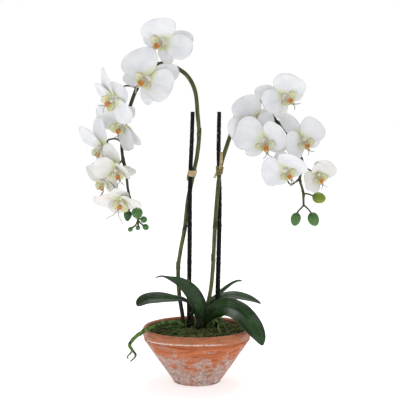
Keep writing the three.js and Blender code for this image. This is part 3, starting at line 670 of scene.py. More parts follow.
@dataclass(frozen=True)
class WaxyFlesh(Finish):
    """Thick waxy plant flesh, grown, of the callus and the column: a smooth gloss over one warm tone
    that darkens towards one end."""

    tone: str = "#dd953f"
    deep: str = "#a45f22"
    dark_from: float = 0.66
    spot_mm: float = 2.2

    def shade(self, tree: Tree) -> dict[str, Any]:
        """Returns the Principled shader's inputs."""
        spots = speckle(tree, self.spot_mm, 2)
        wander = total(tree, -0.25, (grain(tree)[0], 1), (spots, 0.5))
        colour = coat(tree, self.tone, self.deep, 0.85, (wander, self.dark_from, 1.0))
        return {"Base Color": colour, "Roughness": 0.36, "Normal": relief(tree, (spots, 0.2)), "IOR": 1.42,
                "Subsurface Weight": 0.2, "Subsurface Radius": (1.0, 0.7, 0.5), "Subsurface Scale": 0.0015}


@dataclass(frozen=True)
class LeafCuticle(Finish):
    """A thick evergreen leaf under its wax cuticle, grown: deep green with a painted grey sheen where it
    faces the top light, patches of grey waxy bloom, a pale midrib, faint lengthwise veins and a matt, lighter
    underside."""

    deep: str = "#0a1606"
    fresh: str = "#234b18"
    bloom_and_sheen_tone: str = "#586357"
    midrib: str = "#5f7d49"
    edge: str = "#47603a"
    under: str = "#45592f"
    veins: float = 10.0
    cloud_mm: float = 30.0
    wax_mm: float = 34.0
    swell_mm: float = 16.0
    mottle_mm: float = 2.4

    def shade(self, tree: Tree) -> dict[str, Any]:
        """Returns the Principled shader's inputs."""
        along, across, face = grain(tree)
        middle = apart(tree, across)
        cloud, fine = speckle(tree, self.cloud_mm, 4, 0.55), speckle(tree, self.mottle_mm, 3, 0.6)
        # The flat of each half is the freshest green, a painted sheen band, and the root end is nearly black
        flat = ramped(tree, 0.5, (apart(tree, middle, 0.4), 0.45, 0.1))
        fresh = total(tree, 0, (ramped(tree, 0.6, (cloud, 0.4, 0.66)), 1), (flat, 1))
        colour = coat(tree, self.deep, self.fresh, fresh, (along, 0.0, 0.3))
        # Painted sheen greys the blade where it faces up towards the top light, and patches of waxy bloom
        # grey it too
        level = add(tree, "SeparateXYZ", add(tree, "NewGeometry", out="Normal"), out="Z")
        bloom_and_sheen = add(tree, "Math", ramped(tree, 0.35, (speckle(tree, self.wax_mm), 0.5, 0.64)),
                     ramped(tree, 0.75, (level, 0.6, 0.98)), operation="MAXIMUM")
        colour = coat(tree, colour, self.bloom_and_sheen_tone, bloom_and_sheen)
        lines = veining(tree, self.veins, 0.3, 1.6, 2.0)
        # Darker between the veins, painted shade in their grooves, and paler on them
        colour = coat(tree, colour, self.deep, 0.2, (lines, 0.35, 0.0))
        colour = coat(tree, colour, self.midrib, 0.2, (lines, 0.76, 1.0))
        colour = coat(tree, colour, self.midrib, 0.25, (middle, 0.05, 0.01))
        colour = coat(tree, colour, self.edge, 0.6, (middle, 0.9, 1.0))
        colour = coat(tree, colour, self.deep, 0.25, (fine, 0.45, 0.8))
        colour = coat(tree, colour, self.under, 1.0, (face, 0.6, 0.4))
        raised = relief(tree, (speckle(tree, self.swell_mm, 2, 0.5), 2.2), (fine, 0.18), (lines, 0.3))
        return {"Base Color": colour, "Roughness": add(tree, "MapRange", cloud, 0.3, 0.7, 0.24, 0.4),
                "Normal": raised, "IOR": 1.45, "Specular IOR Level": 0.22, "Coat Weight": 0.1,
                "Coat Roughness": 0.18}


@dataclass(frozen=True)
class StemSkin(Finish):
    """The fleshy skin of a flower spike, grown: olive green with lengthwise streaks, darkened by its third
    mark: its own purple-black where the sun has reached the arch, the flower stalks and the joints, and
    painted shade behind the blooms and low on the stem."""

    green: str = "#5d6626"
    olive: str = "#373d18"
    dark: str = "#10120a"
    streak_mm: float = 3.0
    patch_mm: float = 22.0

    def shade(self, tree: Tree) -> dict[str, Any]:
        """Returns the Principled shader's inputs."""
        streak = speckle(tree, self.streak_mm, 4, 0.6, (1, 1, 0.12))
        wander = total(tree, -0.35, (grain(tree)[2], 1), (speckle(tree, self.patch_mm, 4, 0.6), 0.7))
        colour = coat(tree, self.green, self.olive, 1.0, (streak, 0.42, 0.6))
        # The third mark darkens the skin: its own purple-black in places, painted shade behind the blooms and
        # low on the stem
        colour = coat(tree, colour, self.dark, 0.95, (wander, 0.25, 0.95))
        return {"Base Color": colour, "Roughness": 0.5, "Normal": relief(tree, (streak, 0.4)), "IOR": 1.45}


@dataclass(frozen=True)
class StainedCane(Finish):
    """A thin bamboo cane, split, stained and dried: near black, matt, with pale flecks where the stain
    missed the fibre."""

    stain: str = "#070807"
    worn: str = "#191914"
    fleck: str = "#a3a196"
    fibre_mm: float = 2.4
    fleck_mm: float = 3.4

    def shade(self, tree: Tree) -> dict[str, Any]:
        """Returns the Principled shader's inputs."""
        fibre = speckle(tree, self.fibre_mm, 4, 0.65, (1, 1, 0.2))
        colour = coat(tree, self.stain, self.worn, 0.8, (fibre, 0.4, 0.72))
        flecks = speckle(tree, self.fleck_mm, 2, 0.7, (1, 1, 0.5))
        colour = coat(tree, colour, self.fleck, 0.8, (flecks, 0.64, 0.7))
        return {"Base Color": colour, "Roughness": 0.75, "Normal": relief(tree, (fibre, 0.8)), "IOR": 1.5,
                "Specular IOR Level": 0.22}


@dataclass(frozen=True)
class DriedFibre(Finish):
    """Raffia palm leaf, torn into strips and dried: straw tan with fine lengthwise fibres. Its third mark
    says how far algae have stained it."""

    straw: str = "#e6cda6"
    shadow: str = "#a08a58"
    stained: str = "#6b652c"
    fibre_mm: float = 1.3
    patch_mm: float = 5.0

    def shade(self, tree: Tree) -> dict[str, Any]:
        """Returns the Principled shader's inputs."""
        fibre = speckle(tree, self.fibre_mm, 3, 0.6, (0.25, 0.25, 1.6))
        wander = total(tree, -0.7, (grain(tree)[2], 1), (speckle(tree, self.patch_mm, 3, 0.6), 1.4))
        colour = coat(tree, self.straw, self.shadow, 1.0, (fibre, 0.35, 0.7))
        colour = coat(tree, colour, self.stained, 0.9, (wander, 0.2, 0.8))
        return {"Base Color": colour, "Roughness": 0.8, "Normal": relief(tree, (fibre, 0.5)), "IOR": 1.5}


@dataclass(frozen=True)
class RootRind(Finish):
    """An aerial root's spongy rind, grown and damp: bright green, blotched darker and flecked where dry."""

    bright: str = "#608738"
    green: str = "#2a3f16"
    dry: str = "#a2a67c"
    patch_mm: float = 7.0
    fleck_mm: float = 2.0

    def shade(self, tree: Tree) -> dict[str, Any]:
        """Returns the Principled shader's inputs."""
        fine = speckle(tree, self.fleck_mm, 3, 0.6)
        colour = coat(tree, self.green, self.bright, 1.0, (speckle(tree, self.patch_mm, 5, 0.7), 0.42, 0.58))
        colour = coat(tree, colour, self.dry, 0.5, (fine, 0.6, 0.8))
        return {"Base Color": colour, "Roughness": 0.6, "Normal": relief(tree, (fine, 0.7)), "IOR": 1.42}


@dataclass(frozen=True)
class BudSkin(Finish):
    """An unopened bud's waxy skin, grown: leaf green, darker at the stalk, yellower along the seams, its
    third mark, where the sepals will part."""

    green: str = "#44773a"
    dark: str = "#2f5226"
    ripe: str = "#6f8440"
    cloud_mm: float = 8.0
    cell_mm: float = 1.0

    def shade(self, tree: Tree) -> dict[str, Any]:
        """Returns the Principled shader's inputs."""
        along, _, seam = grain(tree)
        colour = coat(tree, self.green, self.dark, 1.0, (along, 0.45, 0.02))
        colour = coat(tree, colour, self.ripe, 0.7, (speckle(tree, self.cloud_mm, 4, 0.6), 0.42, 0.72))
        colour = coat(tree, colour, self.ripe, 0.6, (seam, 0.55, 1.0))
        return {"Base Color": colour, "Roughness": 0.42, "IOR": 1.42,
                "Normal": relief(tree, (speckle(tree, self.cell_mm, 2), 0.2)), "Subsurface Weight": 0.1,
                "Subsurface Radius": (0.6, 1.0, 0.4), "Subsurface Scale": 0.002}


@dataclass(frozen=True)
class MossFrond(Finish):
    """Sheet moss, gathered and still damp: strands from near black in the shade to yellow green at the
    lit tips, as far as their third mark says. They are drawn coarser than life, so that they show."""

    shade_green: str = "#080c03"
    mid: str = "#222f0a"
    tip: str = "#ccd583"
    patch_mm: float = 14.0
    frond_mm: float = 1.6

    def shade(self, tree: Tree) -> dict[str, Any]:
        """Returns the Principled shader's inputs."""
        along, _, lit = grain(tree)
        patches = speckle(tree, self.patch_mm, 4, 0.6)
        colour = coat(tree, self.shade_green, self.mid, 1.0, (patches, 0.35, 0.66))
        colour = coat(tree, colour, self.tip, add(tree, "Math", along, lit, operation="MULTIPLY"))
        return {"Base Color": colour, "Roughness": 0.9, "IOR": 1.4,
                "Normal": relief(tree, (speckle(tree, self.frond_mm, 4, 0.7), 1.2))}


@dataclass(frozen=True)
class BarkChip(Finish):
    """Composted pine bark, milled to chips: dark red-brown with pale broken edges."""

    dark: str = "#241a13"
    red: str = "#4a3324"
    edge: str = "#6f5640"
    layer_mm: float = 6.0
    grit_mm: float = 1.6

    def shade(self, tree: Tree) -> dict[str, Any]:
        """Returns the Principled shader's inputs."""
        layer = speckle(tree, self.layer_mm, 5, 0.65, (1, 1, 2.5))
        colour = coat(tree, self.dark, self.red, 1.0, (layer, 0.38, 0.68))
        colour = coat(tree, colour, self.edge, 0.7, (speckle(tree, self.grit_mm, 3, 0.6), 0.6, 0.8))
        return {"Base Color": colour, "Roughness": 0.92, "Normal": relief(tree, (layer, 1.5)), "IOR": 1.45}


@dataclass(frozen=True)
class PaleBoard(Finish):
    """Matt white paper board, which sends soft light back up under the plant."""

    white: str = "#f7f7f7"
    grey: str = "#f1f1f2"
    cloud_mm: float = 400.0

    def shade(self, tree: Tree) -> dict[str, Any]:
        """Returns the Principled shader's inputs."""
        colour = coat(tree, self.white, self.grey, 0.3, (speckle(tree, self.cloud_mm, 2), 0.3, 0.7))
        return {"Base Color": colour, "Roughness": 0.9, "Emission Color": "#ffffff", "Emission Strength": 0.5}


PETAL_FLESH = PetalTissue("petal tissue")
SEPAL_FLESH = replace(PETAL_FLESH, label="sepal tissue", throat="#ccd67c", throat_reach=0.42, back="#e2e5d6",
                      veins=7.0)
YOUNG_PETAL = replace(PETAL_FLESH, label="petal tissue, young", flesh="#eeedea", shade_tone="#dcdad3",
                      throat="#d5dc9a", throat_reach=0.4, vein="#c9c7bb", back="#e2e4d8")
YOUNG_SEPAL = replace(YOUNG_PETAL, label="sepal tissue, young", throat="#c3cf78", throat_reach=0.5, veins=7.0)
COLUMN_FLESH = WaxyFlesh("column flesh", tone="#edece6", deep="#c9bdbd", dark_from=0.7)
CALLUS_FLESH = WaxyFlesh("callus flesh")
LIP_FLESH = LipTissue("lip tissue")
LEAF_SKIN = LeafCuticle("leaf cuticle")
SHEATH_SKIN = LeafCuticle("leaf sheath", deep="#1a2a14", fresh="#35502a")
ROOT_SKIN = RootRind("aerial root rind")
BUD_GREEN = BudSkin("bud skin, leaf green")
YOUNG_BUD = BudSkin("bud skin, still closed", green="#2c5128", dark="#1c3319", ripe="#3f6a2c")
RIPE_BUD = BudSkin("bud skin, about to open", green="#6f8a22", dark="#4f6a1f", ripe="#a2a62e")


# The pot and what fills it


@dataclass
class Bowl:
    """A wide, wheel-turned clay bowl with a rolled rim. Lengths are millimetres, as in every class here.

    The wall strays by sag over sag_width and by dent over dent_width, and the rings are what the
    thrower's fingers leave.
    """

    foot: float = 46.0
    rim: float = 105.0
    height: float = 106.0
    band: float = 18.0
    wall: float = 7.5
    floor: float = 10.0
    ring_pitch: float = 4.2
    ring_depth: float = 0.18
    sag: float = 0.7
    sag_width: float = 55.0
    dent: float = 0.25
    dent_width: float = 6.0
    sides: int = 180

    def profile(self) -> tuple[np.ndarray, np.ndarray]:
        """Draws the section from under the foot, over the rim, to the floor inside.

        Returns:
            The radius and height of each point, and whether it is inside.
        """
        foot, rim, top, low = self.foot, self.rim, self.height, self.height - self.band
        lip = (rim - self.wall, 0, top - 3)
        under = [(0.5, 0, 1.2), (foot - 9, 0, 1.2), (foot - 6, 0, 0.4), (foot - 3, 0, 0.0)]
        outer = smooth_line([(foot - 1.2, 0, 0.3), (foot, 0, 2.5), (foot + 6.9, 0, 12), (foot + 22.4, 0, 34),
                             (rim - 18.7, 0, low - 28), (rim - 4.6, 0, low - 7), (rim - 2.6, 0, low - 4),
                             (rim - 3.2, 0, low - 1), (rim - 0.9, 0, low + 3), (rim - 0.2, 0, low + 8),
                             (rim - 0.3, 0, low + 13), (rim - 1.4, 0, low + 16.6), (rim - 3.4, 0, top),
                             (rim - 5.6, 0, top - 0.3), lip], 9)
        inner = smooth_line([lip, (lip[0] - 1, 0, low + 6), (lip[0] - 8, 0, low - 10),
                             (foot - 6, 0, self.floor + 2), (foot - 12, 0, self.floor)], 8)[1:]
        line = np.vstack([under, outer, inner, (0.5, 0, self.floor)])
        return line[:, ::2], np.arange(len(line)) >= len(under) + len(outer)

    def build(self) -> None:
        """Turns the clay, with throwing rings and an uneven hand in it."""
        line, inside = self.profile()
        radius, z, turn = line[:, :1], line[:, 1:], ring(self.sides)
        points = turned(radius, turn, z)
        below_band = z < self.height - self.band - 6
        rings = self.ring_depth * (np.sin(z * math.tau / self.ring_pitch) * below_band - 1)
        sway = self.sag * (ripple(points, self.sag_width, 3.1) - 0.6)
        dents = self.dent * ripple(points, self.dent_width, 9.0)
        # The clay strays only inwards, so that the wall keeps inside the solid
        stray = np.minimum(sway + dents + rings - 0.02, 0.0) * ((z > 3) & (radius > self.foot))
        heap = Heap()
        heap.sleeve(turned(radius + stray, turn, z), grid(z, 0, inside[:, None]))
        heap.piece("clay_bowl", WeatheredTerracotta("weathered terracotta"), Slot.CLAY, "bowl")


@dataclass
class Planting:
    """What fills the bowl: bark, a mat of moss over it, loose strands and thin side roots."""

    bark_top: float = 88.0
    bark_edge: float = 92.0
    moss_top: float = 99.0
    moss_bump: float = 2.2
    moss_edge: float = 95.0
    torn_edge: float = 2.2
    edge_drop: float = 5.5
    # Each layer of lumps: its height, its width and where its noise starts
    lumps: Sequence[Vec] = ((1.7, 8.0, 7.0), (0.9, 2.6, 2.0))
    chips: int = 260
    # How long, broad and thick a chip is beside a round lump
    chip_form: Vec = (1.2, 0.9, 0.55)
    strands: int = 9000
    side_roots: Sequence[Sequence[Vec]] = (
        ((-30, -14, 103), (-45, -24, 105), (-60, -40, 104), (-70, -55, 101)),
        ((-20, -22, 103), (-38, -38, 104.5), (-50, -56, 103), (-46, -70, 101)),
        ((-24, -8, 104), (-44, -4, 106), (-62, -8, 105), (-80, -16, 102)),
        ((-12, -36, 103), (-26, -48, 105), (-34, -62, 103), (-20, -74, 101)),
        ((-52, -16, 106), (-66, -10, 106), (-80, 2, 104), (-86, 16, 100)),
    )

    def moss_height(self, points: np.ndarray) -> np.ndarray:
        """Measures the mat as the solid model has it.

        Args:
            points: Places in millimetres, in any shape that ends in 3.

        Returns:
            The mat's height at each.
        """
        x, y = points[..., 0], points[..., 1]
        waves = np.sin(x * 0.13 + 1.1) * np.cos(y * 0.15) + 0.6 * np.sin(x * 0.31 - y * 0.27)
        return self.moss_top + self.moss_bump * (waves * 0.6 + 1 - (x * x + y * y) / self.moss_edge**2)

    def bark(self, draw: np.random.Generator) -> None:
        """Fills the bowl with bark, with chips that show round the edge of the moss.

        Args:
            draw: The source of all random draws.
        """
        heap = Heap()
        line = np.array([(0.5, 11), (35, 11), (88.5, 78), (self.bark_edge - 0.6, self.bark_top),
                         (70, self.bark_top + 2), (0.5, self.bark_top)])
        heap.sleeve(turned(line[:, :1], ring(96), line[:, 1:]), ends=False)
        for _ in range(self.chips):
            angle, radius = draw.uniform(0, math.tau), draw.uniform(78, 90)
            size = draw.uniform(2.2, 5.5, 3) * self.chip_form
            chip = egg(size, 5, 6, np.linalg.qr(draw.normal(size=(3, 3)))[0])
            at = turned(radius, angle, self.bark_top + draw.uniform(0.5, 6.5))
            heap.sleeve(chip * (1 + 0.35 * ripple(chip, 3.0, draw.uniform(0, 90)))[..., None] + at)
        heap.piece("bark_mix", BarkChip("milled pine bark"), Slot.BARK, "soil")

    def moss(self, draw: np.random.Generator) -> None:
        """Lays the moss mat, with lumps and torn edges, and strands standing out of it.

        Args:
            draw: The source of all random draws.
        """
        heap, turn = Heap(), ring(220)
        inward = np.concatenate([[1.0, 1.0], np.linspace(0.985, 0.006, 52)])[:, None]
        edge = self.moss_edge - 2.0 + self.torn_edge * ripple(turned(30, turn, 0), 9.0, 4.0)
        flat = turned(inward * edge, turn, 0)
        z = self.moss_height(flat)
        for height, width, seed in self.lumps:
            z = z + height * ripple(flat, width, seed)
        z = z - self.edge_drop * np.clip((inward - 0.93) / 0.07, 0, 1) ** 2
        z[0] = self.bark_top + 1
        heap.sleeve(turned(inward * edge, turn, z))
        for points, mark in zip(*self.tufts(draw)):
            heap.sleeve(points, mark, ends=False)
        heap.piece("sheet_moss", MossFrond("sheet moss"), Slot.MOSS, "moss")

    def tufts(self, draw: np.random.Generator) -> tuple[np.ndarray, np.ndarray]:
        """Makes the loose strands, each rising out of the mat in an arch.

        Args:
            draw: The source of all random draws.

        Returns:
            Their points, strands by rings by corners by 3, and their marks.
        """
        count, t = self.strands, np.linspace(0, 1, 4)[None, :, None]
        angle = draw.uniform(0, math.tau, count)
        reach = self.moss_edge * np.sqrt(draw.uniform(0, 0.94, count))
        foot = turned(reach, angle, 0.0)
        foot[:, 2] = self.moss_height(foot) - 0.6 - 4 * np.clip((reach - 88) / 7, 0, 1)
        heading = draw.uniform(0, math.tau, count)
        ahead, aside = turned(1, heading, 0), grid(-np.sin(heading), np.cos(heading), 0)
        up = np.array([[0, 0, 1.0]])
        length, arch, curl = (draw.uniform(low, high, count)[:, None, None]
                              for low, high in ((3, 10), (0.8, 3.8), (-0.5, 0.5)))
        middle = foot[:, None] + (ahead[:, None] + aside[:, None] * curl * t) * length * t
        middle = middle + up * arch * 3.2 * t * (1 - 0.72 * t)
        lit = draw.uniform(0.05, 1.0, count)[:, None, None] ** 2.2
        thick = (0.35 + 0.6 * lit) * (1 - 0.75 * t)
        corners = spokes(aside, up, ring(3))[:, None, ::-1]
        return middle[:, :, None] + corners * thick[..., None], grid(t, 0, lit)

    def build(self) -> None:
        """Fills and covers the bowl, and lays the thin side roots that run over the moss at the left."""
        draw = np.random.default_rng(SEED)
        self.bark(draw)
        self.moss(draw)
        heap = Heap()
        for points in self.side_roots:
            heap.limb(Route(points), (1.5, 1.2, 0.7), 8, 1.5, lumps=0.35, lump_size=5.0)
        heap.piece("surface_roots", ROOT_SKIN, Slot.ROOT)


# Stems and what they carry


@dataclass
class Cane:
    """A stained support cane, a little thicker at its joints."""

    side: Side
    points: Sequence[Vec]
    radii: Vec
    joints: Vec = (52, 118, 190, 262, 336)
    joint_swell: Vec = (2.6, 0.11)
    foot: float = 45.0

    def build(self) -> None:
        """Makes the cane, which runs down through the moss into the bark."""
        heap = Heap()
        down = self.points[0][2] - self.foot
        heap.limb(planted(self.points, self.foot), self.radii, 20, 1.6, lumps=0.1, lump_size=4.5,
                  swell=[(down + at, *self.joint_swell) for at in self.joints], cut=True)
        side = self.side.value
        heap.piece(f"stake_{side}", StainedCane("stained bamboo"), Slot.CANE, f"cane_{side}")


@dataclass
class Bud:
    """An unopened flower. point says how much blunter it is at its stalk, and size is length and width."""

    name: str
    at: Vec
    axis: Vec
    size: tuple[float, float]
    stalk: Sequence[Vec]
    point: float = 0.16
    finish: BudSkin = BUD_GREEN
    # Shares of the radius
    seam_depth: float = 0.035
    rib_depth: float = 0.012

    def build(self) -> None:
        """Makes an egg, blunt at its stalk, with the three seams along which it will open."""
        length, width = self.size
        lat, around = np.linspace(0.02, 0.98, 30)[:, None] * math.pi, ring(40)
        seam = np.abs(np.cos(1.5 * around)) ** 10 * np.sin(lat)
        radius = np.sin(lat) * width / 2 * (1 + self.point * np.cos(lat) / 2)
        radius = radius * (1 - self.seam_depth * seam + self.rib_depth * np.cos(6 * around))
        axis = unit(np.array(self.axis, float))
        side = unit(np.cross(axis, np.eye(3)[int(np.argmin(np.abs(axis)))]))
        heap = Heap()
        heap.sleeve(turned(radius, around, -np.cos(lat) * length / 2), grid(lat / math.pi, 0, seam))
        heap.moved(np.stack([side, np.cross(axis, side), axis], -1), self.at)
        heap.piece(f"flower_bud_{self.name}", self.finish, Slot.BUD, f"bud_{self.name}")


@dataclass(frozen=True)
class Tepal:
    """The form of one petal or sepal, in millimetres and degrees, in the flower's own frame: X to the
    right, Y up and Z the way it faces.

    angle turns clockwise from straight up. claw is the width at the root, and rise and fall shape the
    outline. start is how far out the root is and root how far forward. lift is the slope there, bend
    how much it changes by the tip, turn the twist and cup how far the blade bends across, in radians.
    wave, crease and curl are how far the edge waves, the midrib sinks and the edge curls back.
    """

    angle: float
    length: float
    width: float
    claw: float
    rise: float
    fall: float
    root: float
    lift: float
    bend: float
    cup: float
    turn: float = 0.0
    start: float = 2.0
    thickness: float = 0.9
    wave: float = 1.0
    flush: float = 0.0
    crease: float = 1.0
    curl: float = 1.3

    def add_to(self, heap: Heap, along: int, across: int, phase: float, kind: float = 1.0) -> None:
        """Adds the blade to a heap.

        Args:
            heap: Where it goes.
            along: Rows from root to tip.
            across: Columns from edge to edge.
            phase: Shifts the waves of its edge.
            kind: The mark of its upper face.
        """
        angle, lift, bend, turn = (math.radians(a) for a in (self.angle, self.lift, self.bend, self.turn))
        out = np.array([math.sin(angle), math.cos(angle), 0])
        aside = np.array([math.cos(angle), -math.sin(angle), 0])
        facing = np.array([0, 0, 1.0])
        u, v = eased(along)[:, None, None], crowded(across, 1.25)[None, :, None]
        tilt = lift + bend * u
        reach = (np.sin(tilt) - math.sin(lift)) / bend
        height = (math.cos(lift) - np.cos(tilt)) / bend
        half = np.maximum.reduce([self.width / 2 * outline(np.minimum(u, 0.9996), self.rise, self.fall),
                                  self.claw / 2 * np.sqrt(1 - u), 0 * u + 0.25])
        flat = facing * np.cos(tilt) - out * np.sin(tilt)
        side = aside * math.cos(turn) + flat * math.sin(turn)
        top = flat * math.cos(turn) - aside * math.sin(turn)
        arc = self.cup * v
        centre = out * (self.start + self.length * reach) + facing * (self.root + self.length * height)
        centre = centre + side * (half * np.sin(arc) / self.cup) + top * (half * (1 - np.cos(arc)) / self.cup)
        normal = top * np.cos(arc) - side * np.sin(arc)
        # Edge waves grow from nothing at the claw, the midrib is a shallow crease and the edge curls back
        wave = edge_wave(u, v, self.wave, 1.6, 0.3, phase)
        crease = self.crease * np.exp(-((v / 0.09) ** 2)) * u * (1 - u) * 3
        curl = self.curl * np.maximum(np.abs(v), u) ** 7 * np.sqrt(u)
        thick = self.thickness * (0.35 + 0.65 * (1 - np.abs(v) ** 4)) * (0.45 + 0.55 * (1 - u**3))
        flush = self.flush * np.clip(v * 1.3, 0, 1) ** 1.5 * u
        heap.blade(centre + normal * (wave - crease - curl), normal, thick[..., 0],
                   grid(u[..., 0], v[..., 0], kind), flush[..., 0])


PETAL_LEFT = Tepal(-84, 48, 60, 6, 0.62, 0.44, 0.6, 8, -14, 0.25, wave=1.5)
LATERAL_RIGHT = Tepal(135, 42, 28, 7, 0.5, 0.58, -1.6, -4, -12, 0.45)
PETALS = {"petal_left": PETAL_LEFT, "petal_right": replace(PETAL_LEFT, angle=84)}
SEPALS = {"dorsal": Tepal(0, 46, 32, 7, 0.55, 0.5, -1.6, -6, -12, 0.45), "lateral_right": LATERAL_RIGHT,
          "lateral_left": replace(LATERAL_RIGHT, angle=-135)}
MID_LOBE = Tepal(180, 21, 12, 8, 0.5, 0.75, 4.5, 34, -34, 0.5, start=3.4, thickness=1.1, wave=0.5)
SIDE_LOBE = Tepal(132, 17, 17, 6, 0.5, 0.4, 6.4, 46, 14, 0.4, start=6.5, thickness=1.0, wave=0.6)
TENDRIL_ROOT = np.array([0.5, -20.3, 10.5])
TENDRIL_STEPS = ((0, 0, 0), (0.9, -2.8, 2.8), (2.5, -5, 5), (5.4, -7, 6.6), (8, -9, 9))
Change = dict[str, float]


@dataclass
class Bloom:
    """One open flower: three sepals, two petals, the column and the lip.

    start is the place on the spike that its stalk leaves, at is the flower's middle and via the points
    that the stalk passes. turn is its yaw to the right, its pitch upwards and its roll anticlockwise as
    the viewer sees it. cream is true for the youngest, which haven't whitened yet. The last five say how
    each tepal differs from the usual form.
    """

    name: str
    start: Vec
    at: Vec
    turn: Vec
    size: float
    via: Sequence[Vec] = ()
    stalk: float = 16.0
    tendril: float = 1.0
    cream: bool = False
    dorsal: Change = field(default_factory=dict)
    lateral_right: Change = field(default_factory=dict)
    lateral_left: Change = field(default_factory=dict)
    petal_left: Change = field(default_factory=dict)
    petal_right: Change = field(default_factory=dict)

    def frame(self) -> np.ndarray:
        """Turns the flower.

        Returns:
            A matrix whose columns are its right, its up and the way it faces.
        """
        yaw, pitch, roll = (math.radians(a) for a in self.turn)
        ahead, level, rise = np.array([math.sin(yaw), -math.cos(yaw), 0]), math.cos(pitch), math.sin(pitch)
        facing, up = ahead * level + (0, 0, rise), (0, 0, level) - ahead * rise
        right = np.cross(up, facing)
        across = right * math.cos(roll) + up * math.sin(roll)
        return np.stack([across, up * math.cos(roll) - right * math.sin(roll), facing], -1)

    def stalk_route(self) -> Route:
        """Returns the line of the flower stalk, which meets the flower's back square on."""
        back = self.frame()[:, 2] * self.size
        return Route([self.start, *self.via, self.at - back * self.stalk, self.at - back * 3.4])

    def build(self) -> None:
        """Makes the flower's pieces in its own frame and puts them in place."""
        phase = np.random.default_rng(SEED + sum(map(ord, self.name))).uniform(0, math.tau, 8)
        petals, sepals = self.tepals(PETALS, 30, 26, phase), self.tepals(SEPALS, 28, 18, phase[2:])
        sepals.ball((0, 0, -0.6), (6.2, 6.2, 3.6), 8, 18, 1)
        for part, heap, finish, slot, node in (
                ("petals", petals, YOUNG_PETAL if self.cream else PETAL_FLESH, Slot.PETAL, "tepals"),
                ("sepals", sepals, YOUNG_SEPAL if self.cream else SEPAL_FLESH, Slot.PETAL, "tepals"),
                ("column", self.column(), COLUMN_FLESH, Slot.PETAL, "tepals"),
                ("labellum", self.lip(phase[5]), LIP_FLESH, Slot.LIP, "lip"),
                ("callus", self.callus(), CALLUS_FLESH, Slot.LIP, "lip")):
            heap.moved(self.frame() * self.size, self.at).piece(f"{part}_{self.name}", finish, slot,
                                                                f"bloom_{self.name}_{node}")

    def tepals(self, forms: dict[str, Tepal], along: int, across: int, phase: Vec) -> Heap:
        """Makes the usual forms, each with this flower's changes.

        Args:
            forms: The forms by their field's name.
            along: Rows of each blade.
            across: Columns of each blade.
            phase: Where the waves of each one's edge begin.

        Returns:
            The blades in the flower's own frame, as the next three methods return theirs.
        """
        heap = Heap()
        for (name, form), start in zip(forms.items(), phase):
            replace(form, **getattr(self, name)).add_to(heap, along, across, start)
        return heap

    def column(self) -> Heap:
        """Returns the column, with its cap and the two wings under it."""
        heap = Heap()
        heap.limb(Route([(0, -0.5, 0), (0, 2.2, 4), (0, 4, 8), (0, 3.4, 12)]), (3.6, 2.9, 2.8, 3.1), 18, 0.7)
        heap.ball((0, 2.9, 13), (2.7, 2.1, 2.3), 8, 14, 1)
        for side in (-1, 1):
            heap.ball((side * 2.3, 1.6, 9.2), (0.9, 2.2, 3.2), 7, 10, 1)
        return heap

    def lip(self, phase: float) -> Heap:
        """Returns the lip's three lobes and the two tendrils at its tip.

        Args:
            phase: Where the waves of their edges begin.
        """
        heap = Heap()
        MID_LOBE.add_to(heap, 18, 14, phase)
        for side in (-1, 1):
            replace(SIDE_LOBE, angle=SIDE_LOBE.angle * side).add_to(heap, 14, 12, phase + side, 0.2)
            reach = (TENDRIL_ROOT + np.array(TENDRIL_STEPS) * self.tendril) * (side, 1, 1)
            heap.limb(Route(reach), (1.2, 1.0, 0.75), 7, 0.8, tones=((0, -1),))
        return heap

    def callus(self) -> Heap:
        """Returns the callus: two warm lumps side by side, each with a small one in front."""
        heap = Heap()
        for side in (-1, 1):
            heap.ball((side * 1.9, -12.7, 12.8), (3.0, 4.7, 3.3), 10, 14)
            heap.ball((side * 2.3, -16.2, 13.5), (1.4, 1.6, 1.6), 7, 9)
        return heap


